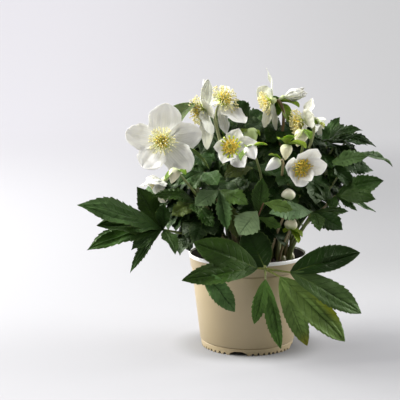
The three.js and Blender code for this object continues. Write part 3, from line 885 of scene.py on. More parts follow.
# ---- Geometry Nodes
class Tree(Wiring):
    """A Geometry Nodes tree built by name, ending in real geometry with its material."""

    SOCKETS = {float: "NodeSocketFloat", int: "NodeSocketInt", str: "NodeSocketMaterial"}
    # Where a random value node keeps its numbers among its sockets.
    LOW, HIGH, NUMBER = 2, 3, 1

    def __init__(self, name: str, sizes: dict[str, float | int | str]) -> None:
        """Starts a tree.

        Args:
            name: the tree's name.
            sizes: its inputs and what each is without a value of its own. A text stands for a
                material.
        """
        self.group = bpy.data.node_groups.new(name, "GeometryNodeTree")
        super().__init__(self.group)
        face = self.group.interface
        face.new_socket("Geometry", in_out="INPUT", socket_type="NodeSocketGeometry")
        face.new_socket("Geometry", in_out="OUTPUT", socket_type="NodeSocketGeometry")
        self.sockets = {}
        for label, value in sizes.items():
            made = face.new_socket(label, in_out="INPUT", socket_type=self.SOCKETS[type(value)])
            if not isinstance(value, str):
                made.default_value = value
            self.sockets[label] = made.identifier
        self.given = self.node("NodeGroupInput")

    def input(self, name: str) -> Socket:
        """Returns one of the tree's inputs."""
        return self.given.outputs[name]

    def vector(self, x: Any = 0.0, y: Any = 0.0, z: Any = 0.0) -> Socket:
        """Adds a vector of three numbers and returns it."""
        return self.node("ShaderNodeCombineXYZ", X=x, Y=y, Z=z).outputs[0]

    def around(self, turn: Socket, radius: Socket) -> Socket:
        """Returns the place at a turn about +Z and a radius."""
        return self.vector(self.times(self.math("COSINE", turn), radius),
                           self.times(self.math("SINE", turn), radius))

    def random(self, low: float, high: float, draw: int) -> Socket:
        """Adds a random number for each element.

        Args:
            low: the least it can be.
            high: the most it can be.
            draw: the draw's number, which seeds it together with the tree's seed.

        Returns:
            The number.
        """
        made = self.node("FunctionNodeRandomValue", {"data_type": "FLOAT"},
                         Seed=self.plus(self.input("Seed"), float(draw)))
        self.put(made.inputs[self.LOW], low)
        self.put(made.inputs[self.HIGH], high)
        return made.outputs[self.NUMBER]

    def swept(self, curve: Socket, sides: Any, radius: Any) -> bpy.types.Node:
        """Sweeps a ring along a curve and closes the ends."""
        ring = self.node("CurvePrimitiveCircle", Resolution=sides, Radius=radius).outputs[0]
        return self.node("CurveToMesh", Curve=curve, Profile_Curve=ring, Fill_Caps=True)

    def spots(self, count: Socket, places: Socket) -> Socket:
        """Returns so many points, each at its place."""
        return self.node("Points", Count=count, Position=places).outputs[0]

    def copied(self, spots: Socket, piece: Socket, rotation: Socket, scale: Socket) -> Socket:
        """Puts a copy of a piece on every spot, turned and stretched."""
        made = self.node("InstanceOnPoints", Points=spots, Instance=piece, Rotation=rotation, Scale=scale)
        return made.outputs[0]

    def coated(self, geometry: Socket, material: str) -> Socket:
        """Gives geometry the material of one of the tree's inputs."""
        return self.node("SetMaterial", Geometry=geometry, Material=self.input(material)).outputs[0]

    def end(self, geometry: Socket) -> None:
        """Makes the instances real and ends the tree."""
        self.node("NodeGroupOutput", Geometry=self.node("RealizeInstances", Geometry=geometry).outputs[0])

    def grow(self, seedling: bpy.types.ID, values: dict[str, Any]) -> Shape:
        """Runs the tree on a curve or mesh and reads what it makes.

        Args:
            seedling: the curve or mesh data that the tree starts from.
            values: the inputs that differ from the tree's own. A finish goes in as its material.

        Returns:
            What it made, its faces numbered by the order of the finishes in values.
        """
        holder = placed("seedling", seedling)
        modifier = holder.modifiers.new("grow", "NODES")
        modifier.node_group = self.group
        coats = [value.name for value in values.values() if isinstance(value, Finish)]
        for label, value in values.items():
            modifier[self.sockets[label]] = value.material() if isinstance(value, Finish) else value
        graph = bpy.context.evaluated_depsgraph_get()
        mesh = bpy.data.meshes.new_from_object(holder.evaluated_get(graph), depsgraph=graph)
        shape = Shape.read(mesh)
        if coats:
            numbers = np.array([coats.index(coat.name) if coat else 0 for coat in mesh.materials])
            shape = shape.finished(numbers[shape.finish])
        holder.modifiers.clear()
        bpy.data.objects.remove(holder)
        bpy.data.meshes.remove(mesh)
        return shape


@lru_cache(maxsize=None)
def stalk_tree() -> Tree:
    """Builds the tree that swells a path into a round tapering stalk.

    Returns:
        The tree.
    """
    tree = Tree("stalk", {"Root Radius": 0.0017, "End Radius": 0.0012, "Steps": 24, "Sides": 9})
    path = tree.node("ResampleCurve", Curve=tree.input("Geometry"), Count=tree.input("Steps")).outputs[0]
    share = tree.node("SplineParameter").outputs["Factor"]
    radius = tree.node("ShaderNodeMapRange", Value=share, To_Min=tree.input("Root Radius"),
                       To_Max=tree.input("End Radius")).outputs[0]
    sized = tree.node("SetCurveRadius", Curve=path, Radius=radius).outputs[0]
    swept = tree.swept(sized, tree.input("Sides"), 1.0)
    tree.put(swept.inputs["Scale"], tree.node("InputRadius").outputs[0])
    tree.end(swept.outputs[0])
    return tree


@lru_cache(maxsize=None)
def stamen_tree() -> Tree:
    """Builds the tree that sets a flower's stamens round its middle, inner ones upright.

    Returns:
        The tree.
    """
    tree = Tree("stamens", {
        "Count": 60, "Foot Radius": 0.0025, "Length": 0.011, "Splay": 0.9, "Seed": 1,
        "Filament Radius": 0.00024, "Anther Breadth": 0.00085, "Anther Depth": 0.0007,
        "Anther Length": 0.00115, "Filament": "", "Anther": ""})
    count, length = tree.input("Count"), tree.input("Length")
    index = tree.node("InputIndex").outputs[0]
    share = tree.math("SQRT", tree.math("DIVIDE", tree.plus(index, 0.5), count))
    turn = tree.plus(tree.times(index, GOLDEN_ANGLE), tree.random(-0.2, 0.2, 1))
    foot = tree.around(turn, tree.times(share, tree.input("Foot Radius")))
    top = tree.vector(x=tree.times(length, 0.14), z=length)
    thread = tree.node(
        "CurvePrimitiveBezierSegment", Resolution=5, Start=tree.vector(),
        Start_Handle=tree.vector(z=tree.times(length, 0.4)),
        End_Handle=tree.vector(x=tree.times(length, 0.02), z=tree.times(length, 0.7)), End=top)
    filament = tree.swept(thread.outputs[0], 4, tree.input("Filament Radius"))
    grain = tree.node("MeshIcoSphere", Radius=1.0, Subdivisions=1)
    size = tree.vector(*(tree.input(f"Anther {side}") for side in ("Breadth", "Depth", "Length")))
    anther = tree.node("Transform", Geometry=grain.outputs[0], Translation=top, Scale=size)
    stamen = tree.node("JoinGeometry", Geometry=[tree.coated(anther.outputs[0], "Anther"),
                                                 tree.coated(filament.outputs[0], "Filament")])
    tilt = tree.plus(tree.times(share, tree.input("Splay")), tree.random(-0.13, 0.13, 2))
    tree.end(tree.copied(tree.spots(count, foot), stamen.outputs[0], tree.vector(y=tilt, z=turn),
                         tree.vector(1.0, 1.0, tree.random(0.8, 1.08, 3))))
    return tree


@lru_cache(maxsize=None)
def nectary_tree() -> Tree:
    """Builds the tree that sets the ring of little trumpets round the stamens.

    Returns:
        The tree.
    """
    tree = Tree("nectaries", {
        "Count": 13, "Ring Radius": 0.0045, "Length": 0.004, "Flare": 0.9, "Seed": 1,
        "Mouth Radius": 0.0011, "Foot Radius": 0.0005, "Coat": ""})
    count = tree.input("Count")
    index = tree.node("InputIndex").outputs[0]
    turn = tree.plus(tree.times(tree.math("DIVIDE", index, count), TURN), tree.random(-0.1, 0.1, 4))
    horn = tree.node("MeshCone", Vertices=7, Radius_Top=tree.input("Mouth Radius"),
                     Radius_Bottom=tree.input("Foot Radius"), Depth=tree.input("Length"))
    tilt = tree.plus(tree.input("Flare"), tree.random(-0.15, 0.15, 5))
    feet = tree.spots(count, tree.around(turn, tree.input("Ring Radius")))
    ring = tree.copied(feet, horn.outputs["Mesh"], tree.vector(y=tilt, z=turn),
                       tree.vector(1.0, 1.0, tree.random(0.8, 1.15, 6)))
    tree.end(tree.coated(ring, "Coat"))
    return tree


@lru_cache(maxsize=None)
def crumb_tree() -> Tree:
    """Builds the tree that strews crumbs of bark and peat over the potting mix.

    Returns:
        The tree.
    """
    tree = Tree("crumbs", {"Density": 90000.0, "Smallest": 0.0005, "Largest": 0.0021, "Seed": 5, "Coat": ""})
    spots = tree.node("DistributePointsOnFaces", Mesh=tree.input("Geometry"), Density=tree.input("Density"),
                      Seed=tree.input("Seed"))
    lump = tree.node("MeshIcoSphere", Radius=1.0, Subdivisions=1)
    rotation = tree.vector(*(tree.random(0.0, 6.28, draw) for draw in (7, 8, 9)))
    smallest, largest = tree.input("Smallest"), tree.input("Largest")
    few_large = tree.math("POWER", tree.random(0.0, 1.0, 10), 2.5)
    size = tree.plus(smallest, tree.times(tree.less(largest, smallest), few_large))
    squash = tree.times(size, tree.random(0.35, 0.9, 11))
    stretch = tree.times(size, tree.random(0.8, 1.9, 12))
    strewn = tree.copied(spots.outputs["Points"], lump.outputs["Mesh"], rotation,
                         tree.vector(stretch, size, squash))
    tree.end(tree.coated(strewn, "Coat"))
    return tree


@lru_cache(maxsize=None)
def notch_tree() -> Tree:
    """Builds the tree that cuts a ring of notches out of the pot's foot.

    Returns:
        The tree.
    """
    tree = Tree("notches", {"Count": 24, "First": 0.0, "Radius": 0.0476, "Width": 0.0022, "Height": 0.0016,
                            "Depth": 0.012})
    index = tree.node("InputIndex").outputs[0]
    count = tree.input("Count")
    turn = tree.plus(tree.input("First"), tree.times(tree.math("DIVIDE", index, count), TURN))
    # An eight-sided bar whose sides are 1 from its middle, turned flat side up and laid along the radius.
    bar = tree.node("MeshCylinder", Vertices=8, Radius=1.0824, Depth=tree.input("Depth"))
    for turned in ((0.0, 0.0, math.pi / 8), (0.0, math.pi / 2, 0.0)):
        bar = tree.node("Transform", Geometry=bar.outputs[0], Rotation=turned)
    scale = tree.vector(1.0, tree.times(tree.input("Width"), 0.5), tree.input("Height"))
    feet = tree.spots(count, tree.around(turn, tree.input("Radius")))
    ring = tree.copied(feet, bar.outputs[0], tree.vector(z=turn), scale)
    cut = tree.node("MeshBoolean", {"operation": "DIFFERENCE"}, Mesh_1=tree.input("Geometry"),
                    Mesh_2=tree.node("RealizeInstances", Geometry=ring).outputs[0])
    tree.end(cut.outputs["Mesh"])
    return tree


def seed_point() -> bpy.types.Mesh:
    """Returns an empty mesh, for a tree that starts from nothing."""
    return bpy.data.meshes.new("seed")


# ---- pieces
def placed(name: str, data: bpy.types.ID) -> bpy.types.Object:
    """Makes an object of some data and puts it in the scene.

    Args:
        name: the object's name.
        data: what it shows.

    Returns:
        The object.
    """
    made = bpy.data.objects.new(name, data)
    bpy.context.scene.collection.objects.link(made)
    return made


def add_piece(name: str, shape: Shape, finishes: Sequence[Finish], replaced: str = "",
              sharp: float = 50.0) -> None:
    """Finishes a piece and fixes it to the plant's body.

    Args:
        name: the piece's name.
        shape: its surface.
        finishes: what its faces are dressed in.
        replaced: the plain solid that it stands for, if there is one.
        sharp: degrees beyond which an edge shows.
    """
    made = placed(name, shape.mesh(name, finishes, sharp))
    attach(made, BODY)
    if replaced:
        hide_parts(replaced)
    LOG.info("%s: %d faces", name, len(shape.sizes))


# ---- stalks
@dataclass(frozen=True)
class Stalk:
    """A stalk that leaves the soil upright and arrives at its end along a direction.

    root is where it leaves the soil, reach the share of its span over which it swings round, rise
    the share over which it stays upright, and arms are short straight branches from its end, whose
    radii are arm_root and arm_end times its own.
    """

    root: Point
    end: Point
    arrival: Point
    reach: float
    root_radius: float
    end_radius: float
    tone: Tone = Tone.STALK
    arms: Sequence[Point] = ()
    rise: float = 0.4
    arm_root: float = 0.75
    arm_end: float = 0.4

    def corners(self) -> Array:
        """Works out the four control points of its path.

        Returns:
            The points, root first.
        """
        start = np.array([self.root[0], self.root[1], SOIL_TOP + GAP])
        end = np.array(self.end, float)
        span = np.linalg.norm(end - start)
        back = self.reach * span * np.array(self.arrival)
        return np.array([start, start + self.rise * span * UP, end - back, end])

    def at(self, share: float) -> Array:
        """Finds a point of its path.

        Args:
            share: the share of its path, which is close to that share of its length.

        Returns:
            The point.
        """
        a, b, c, d = self.corners()
        rest = 1 - share
        return rest ** 3 * a + 3 * rest * rest * share * b + 3 * rest * share * share * c + share ** 3 * d

    def build(self) -> Shape:
        """Builds the stalk and its arms.

        Returns:
            Its shape.
        """
        shapes = [tube(self.corners(), self.root_radius, self.end_radius)]
        root_radius, end_radius = self.arm_root * self.end_radius, self.arm_end * self.end_radius
        for arm in self.arms:
            start, end = np.array(self.end, float), np.array(arm, float)
            path = np.array([start, start + (end - start) / 3, start + (end - start) * 2 / 3, end])
            shapes.append(tube(path, root_radius, end_radius, steps=6))
        return Shape.joined(shapes).tinted(self.tone.value)


def tube(path: Array, start_radius: float, end_radius: float, steps: int = 26) -> Shape:
    """Grows a round tube along a path.

    Args:
        path: the path's four control points.
        start_radius: its radius at the first.
        end_radius: its radius at the last.
        steps: how many rings it has.

    Returns:
        The tube.
    """
    curve = bpy.data.curves.new("path", "CURVE")
    curve.dimensions = "3D"
    spline = curve.splines.new("BEZIER")
    spline.bezier_points.add(1)
    first, last = spline.bezier_points
    a, b, c, d = (path * METRE).tolist()
    for point, left, place, right in ((first, a, a, b), (last, c, d, d)):
        point.handle_left_type = point.handle_right_type = "FREE"
        point.co, point.handle_left, point.handle_right = place, left, right
    spline.resolution_u = 32
    sizes = {"Root Radius": start_radius * METRE, "End Radius": end_radius * METRE, "Steps": steps}
    shape = stalk_tree().grow(curve, sizes)
    bpy.data.curves.remove(curve)
    return shape


# ---- blades: leaflets, bracts, sepals
@dataclass(frozen=True)
class Outline:
    """How a blade's half width runs from foot to tip, and what its margin is like.

    It is widest at rise / (rise + fall) of its length. Teeth start at a share of its length and
    are deep as a share of its half width.
    """

    rise: float
    fall: float
    teeth: int = 0
    first_tooth: float = 0.3
    depth: float = 0.0
    foot: float = 0.05
    rows: int = 22
    columns: tuple[float, ...] = (0, 0.1, 0.24, 0.44, 0.66, 0.86, 1)

    def stations(self) -> tuple[Array, Array]:
        """Places the rows of points so that each tooth has its foot, flank and point.

        The teeth of one margin stand half a step after those of the other.

        Returns:
            The rows' shares of the length, and how far each is up its tooth at the two margins.
        """
        if not self.teeth:
            along = 0.5 - 0.5 * np.cos(np.linspace(0, math.pi, self.rows))
            return along, np.zeros((self.rows, 2))
        plain = np.linspace(0, self.first_tooth, 8)[:-1]
        tip = np.array([0.89, 0.925, 0.955, 0.98, 1.0])
        pitch = (tip[0] - self.first_tooth) / self.teeth
        step = np.tile([0.0, 0.23, 0.465, 0.5, 0.73, 0.965], self.teeth)
        along = self.first_tooth + pitch * (np.repeat(np.arange(self.teeth), 6) + step)
        up = np.stack([step, (step + 0.5) % 1.0], axis=1)
        up[0, 1] = 0.0
        smooth_rows = [np.zeros((len(rows), 2)) for rows in (plain, tip)]
        return np.concatenate([plain, along, tip]), np.concatenate([smooth_rows[0], up, smooth_rows[1]])

    def half(self, along: Array) -> Array:
        """Works out the half width.

        Args:
            along: the share of the length.

        Returns:
            The half width as a share of the greatest one.
        """
        widest = self.rise / (self.rise + self.fall)
        top = widest ** self.rise * (1 - widest) ** self.fall
        inside = np.clip(along, 0, 1)
        least = self.foot * (1 - along) + 0.012
        return np.maximum(inside ** self.rise * (1 - inside) ** self.fall / top, least)


LANCE = Outline(1.2, 1.12, first_tooth=0.34)
BLUNT = Outline(0.72, 0.86, first_tooth=0.36)
PLAIN_COLUMNS = (0, 0.2, 0.6, 1)
BRACT = Outline(0.7, 0.75, foot=0.25)
SEPAL = Outline(0.72, 0.70, foot=0.10, rows=26, columns=(0, 0.13, 0.26, 0.4, 0.54, 0.68, 0.82, 0.93, 1))
POINTED_SEPAL = replace(SEPAL, rise=0.85, fall=1.0)
ROUND_SEPAL = replace(SEPAL, rise=0.78, fall=0.62)


@dataclass(frozen=True)
class Sway:
    """What makes one blade unlike the next.

    bite is how deep the teeth are cut, row by row at the two margins, bend where the unevenness of
    the margins starts, phase where the ripples of each half start, and pace how many each has.
    """

    bite: Array
    bend: Array
    phase: Array
    pace: Array

    @classmethod
    def drawn(cls, seed: int, rows: int) -> Sway:
        """Draws it from a seed.

        Args:
            seed: the seed.
            rows: how many rows the blade has.

        Returns:
            The sway.
        """
        rng = np.random.default_rng(seed)
        return cls(rng.uniform(0.55, 1.2, (rows, 2)), rng.uniform(0, TURN, 2), rng.uniform(0, TURN, 2),
                   rng.uniform(1.5, 2.6, 2))


@dataclass(frozen=True)
class Blade:
    """A thin blade from its foot to its tip.

    face is the way that its upper side looks, and roll turns it about its length from there in
    degrees. arch lifts its middle towards the face side, as a share of its length, fold lifts its
    margins in degrees, cup curls them further, wave ripples them in millimetres, pleat is the height
    of the folds along it, and twist turns the tip against the foot in degrees. sweep carries the
    margins forward, ragged is how uneven they are, as a share of the half width, skew widens one half
    and narrows the other, and hook bends the tip back. thickness is without the midrib's own, rib.
    """

    foot: Array
    tip: Array
    width: float
    face: Point
    outline: Outline
    arch: float = 0.0
    roll: float = 0.0
    fold: float = 10.0
    cup: float = 0.0
    wave: float = 0.0
    pleat: float = 0.0
    twist: float = 0.0
    sweep: float = 0.05
    ragged: float = 0.0
    skew: float = 0.0
    hook: float = 0.0
    thickness: float = 0.5
    rib: float = 0.8
    tone: Colour = Tone.LEAF.value
    tip_tone: Colour | None = None
    edge_tone: Colour | None = None
    edge_side: float = 1.0
    seed: int = 1

    def build(self) -> Shape:
        """Builds the blade.

        Returns:
            Its shape.
        """
        rows, tooth = self.outline.stations()
        columns = np.array(self.outline.columns)
        along, across = np.meshgrid(rows, np.concatenate([-columns[:0:-1], columns]), indexing="ij")
        sway = Sway.drawn(self.seed, len(rows))
        half = self.half_widths(rows, across, sway.bite * tooth, sway.bend)
        place = np.clip(along + self.sweep * np.abs(across) ** 1.4 * np.sin(math.pi * along), 0, 1)
        middle, aside, upward = self.spine(place)
        groove = np.exp(-((across * half) ** 2)) * (1 - 0.7 * along) * np.minimum(1, half / 3)
        out = half * across * math.cos(math.radians(self.fold))
        lift = self.lift(along, across, place, half, groove, sway)
        points = middle + aside * out[..., None] + upward * lift[..., None]
        thickness = np.minimum(self.thickness + self.rib * groove, 0.2 + 0.5 * half)
        return sheet(points, self.normals(points), thickness, along, across, self.colours(along, across))

    def spine(self, place: Array) -> tuple[Array, Array, Array]:
        """Follows the blade's middle, arched, hooked and twisted.

        Args:
            place: the share of the length, at each point.

        Returns:
            The middle's point there, the way to the blade's side and the way up from its face.
        """
        axis = unit(self.tip - self.foot)
        length = float(np.linalg.norm(self.tip - self.foot))
        side = unit(np.cross(axis, np.array(self.face, float)))
        roll = math.radians(self.roll)
        side = side * math.cos(roll) + np.cross(axis, side) * math.sin(roll)
        normal = np.cross(side, axis)
        control = (self.foot + self.tip) / 2 + normal * (self.arch * 2 * length)
        share = place[..., None]
        rest = 1 - share
        middle = rest ** 2 * self.foot + 2 * rest * share * control + share ** 2 * self.tip
        tangent = unit(2 * rest * (control - self.foot) + 2 * share * (self.tip - control))
        middle = middle + normal * (self.hook * length * (share ** 4 - share ** 2))
        upward = unit(np.cross(side, tangent))
        angle = np.radians(self.twist) * (share - 0.3)
        aside = side * np.cos(angle) + upward * np.sin(angle)
        return middle, aside, upward * np.cos(angle) - side * np.sin(angle)

    def half_widths(self, rows: Array, across: Array, bite: Array,
                    bend: Array) -> Array:
        """Returns the half width at each point, with the teeth and unevenness of its margin.

        Args:
            rows: the rows' shares of the length.
            across: from -1 at one margin to 1 at the other, at each point.
            bite: how far up a tooth of its own depth each row is, at the two margins.
            bend: where the unevenness starts.

        Returns:
            The half widths.
        """
        half_of = np.sign(across)
        uneven = (np.sin(17 * rows[:, None] + bend[0] + 2 * half_of)
                  + 0.6 * np.sin(31 * rows[:, None] + bend[1] - 2 * half_of))
        cut = self.outline.depth * np.where(across < 0, bite[:, :1], bite[:, 1:])
        cut = cut + self.ragged * uneven * np.abs(across) ** 2
        return self.width / 2 * self.outline.half(rows)[:, None] * (1 + cut) * (1 + self.skew * half_of)

    def lift(self, along: Array, across: Array, place: Array, half: Array,
             groove: Array, sway: Sway) -> Array:
        """Returns how far each point stands up from the spine.

        Args:
            along: the share of the length at each point.
            across: from -1 at one margin to 1 at the other.
            place: the share of the length with the margins' sweep.
            half: the half width.
            groove: 1 in the midrib's groove, 0 away from it.
            sway: what varies the ripples and pleats.

        Returns:
            The lifts.
        """
        reach = np.abs(across)
        which = (across > 0).astype(int)
        fade = np.sin(math.pi * np.clip(along, 0, 1)) ** 0.5
        ripple = self.wave * np.sin(TURN * sway.pace[which] * place + sway.phase[which]) * reach ** 2.2
        lift = half * (reach * math.sin(math.radians(self.fold)) + self.cup * across ** 2) + ripple * fade
        lift = lift - 0.35 * self.rib * groove
        folds = (np.cos(math.pi * (sway.pace[0] + 1.4) * across + sway.phase[0])
                 + 0.6 * np.cos(math.pi * 5.2 * across + sway.phase[1]))
        swell = np.sin(TURN * (sway.pace[1] * along + 0.35 * across) + sway.phase[1])
        return lift + self.pleat * fade * (folds * smooth(0.1, 0.5, along) * (1 - 0.5 * reach) + swell)

    @staticmethod
    def normals(points: Array) -> Array:
        """Returns the upper side's normal at each point of a grid."""
        cross = np.cross(np.gradient(points, axis=1), np.gradient(points, axis=0))
        return cross / np.maximum(np.linalg.norm(cross, axis=-1, keepdims=True), 1e-9)

    def colours(self, along: Array, across: Array) -> Array:
        """Colours the blade, up to the tip's own tone and that of a patch on one margin.

        Args:
            along: the share of the length, at each point.
            across: the share of half the width, at each point.

        Returns:
            The colour at each point.
        """
        base = np.array(self.tone)
        colour = np.broadcast_to(base, (*along.shape, 3)).copy()
        if self.tip_tone is not None:
            colour += smooth(0.72, 1.0, along)[..., None] * (np.array(self.tip_tone) - base)
        if self.edge_tone is not None:
            share = smooth(0.3, 0.9, across * self.edge_side) * smooth(0.2, 0.45, along)
            share = share * smooth(0.85, 0.6, along)
            colour += share[..., None] * (np.array(self.edge_tone) - colour)
        return colour


# ---- leaves
@dataclass(frozen=True)
class Leaflet:
    """One leaflet: where its tip is and how it is bent.

    branch is the arm that carries it, or foot the point where it starts. Without either it starts at
    the leaf's hub.
    """

    tip: Point
    width: float
    arch: float = 0.05
    roll: float = 0.0
    branch: int | None = None
    tone: Tone | None = None
    tip_tone: Tone | None = None
    edge_tone: Tone | None = None
    edge_side: float = 1.0
    twist: float = 0.0
    fold: float = 10.0
    wave: float = 1.0
    skew: float = 0.0
    foot: Point | None = None


@dataclass(frozen=True)
class Fan:
    """Leaflets spread like the fingers of a hand, in a plane that dips towards its heading.

    The outer ones are shorter and narrower, by those shares.
    """

    heading: float
    pitch: float
    length: float
    width: float
    spread: float = 210.0
    count: int = 7
    droop: float = 0.12
    shorter: float = 0.3
    narrower: float = 0.2

    def leaflets(self, hub: Point, rng: np.random.Generator) -> list[Leaflet]:
        """Lays out the leaflets.

        Args:
            hub: where they meet.
            rng: what varies them.

        Returns:
            The leaflets.
        """
        forward, sideways = direction(self.heading, -self.pitch), direction(self.heading + 90, 0)
        made = []
        for i in range(self.count):
            share = 2 * i / (self.count - 1) - 1
            turn = math.radians(share * self.spread / 2 + rng.uniform(-5, 5))
            reach = self.length * (1 - self.shorter * abs(share) ** 1.5) * rng.uniform(0.92, 1.0)
            aim = forward * math.cos(turn) + sideways * math.sin(turn)
            aim[2] -= self.droop + rng.uniform(-0.05, 0.08)
            width = self.width * (1 - self.narrower * abs(share)) * rng.uniform(0.95, 1.1)
            made.append(Leaflet(tuple(np.array(hub) + aim * reach), width, 0.1 + rng.uniform(-0.02, 0.04),
                                rng.uniform(-14, 14), twist=rng.uniform(-20, 20), fold=rng.uniform(4, 18)))
        return made


@dataclass(frozen=True)
class Leaf:
    """A leaf: a stalk from the soil and a hand of leaflets.

    root is where the stalk leaves the soil, hub where the leaflets meet, arrival the way the stalk
    gets there, and face the way that the upper side looks. tooth makes the teeth deeper or less deep,
    blunt rounds the leaflets, and plain makes them of fewer faces.
    """

    root: Point
    hub: Point
    arrival: Point
    face: Point
    leaflets: Sequence[Leaflet] | Fan
    reach: float = 0.35
    arms: Sequence[Point] = ()
    tone: Tone = Tone.LEAF
    stalk_tone: Tone = Tone.STALK
    stalk_radius: float = 1.6
    plain: bool = False
    tooth: float = 1.0
    blunt: bool = False

    def build(self, number: int) -> Shape:
        """Builds the leaf.

        Args:
            number: the leaf's number, which seeds what varies in it.

        Returns:
            The leaf, its blades in the first finish and its stalk in the second.
        """
        rng = np.random.default_rng(100 + number)
        stalk = Stalk(self.root, self.hub, self.arrival, self.reach, self.stalk_radius,
                      0.72 * self.stalk_radius, self.stalk_tone, self.arms)
        shapes = [stalk.build().finished(1)]
        chosen = self.leaflets.leaflets(self.hub, rng) if isinstance(self.leaflets, Fan) else self.leaflets
        for leaflet in chosen:
            joint = leaflet.foot or (self.hub if leaflet.branch is None else self.arms[leaflet.branch])
            shapes.append(self.blade(leaflet, np.array(joint, float), rng).build())
        return Shape.joined(shapes)

    def blade(self, leaflet: Leaflet, joint: Array, rng: np.random.Generator) -> Blade:
        """Turns one leaflet into a blade, each a little different.

        Args:
            leaflet: the leaflet.
            joint: where it starts.
            rng: what varies it.

        Returns:
            The blade.
        """
        tip = np.array(leaflet.tip, float)
        length = np.linalg.norm(tip - joint)
        light, warmth = rng.uniform(0.82, 1.22), rng.uniform(0.92, 1.12)
        colour = tuple(np.array((leaflet.tone or self.tone).value) * light * np.array([warmth, 1.0, 1.0]))
        teeth = int(np.clip(round(length / (11 if self.plain else 8.5)), 3, 7))
        depth = self.tooth * float(np.clip(rng.uniform(4.0, 6.2) / leaflet.width, 0.16, 0.46))
        outline = replace(BLUNT if self.blunt else LANCE, teeth=teeth, depth=depth)
        if self.plain:
            outline = replace(outline, columns=PLAIN_COLUMNS)
        return Blade(
            joint, tip, leaflet.width, self.face, outline, leaflet.arch, leaflet.roll, leaflet.fold,
            cup=rng.uniform(-0.12, 0.05), wave=leaflet.wave * rng.uniform(0.6, 1.5), pleat=0.011 * length,
            twist=leaflet.twist + rng.uniform(-6, 6), skew=leaflet.skew, tone=colour,
            tip_tone=leaflet.tip_tone.value if leaflet.tip_tone else None,
            edge_tone=leaflet.edge_tone.value if leaflet.edge_tone else None, edge_side=leaflet.edge_side,
            seed=int(rng.integers(1 << 30)),
        )


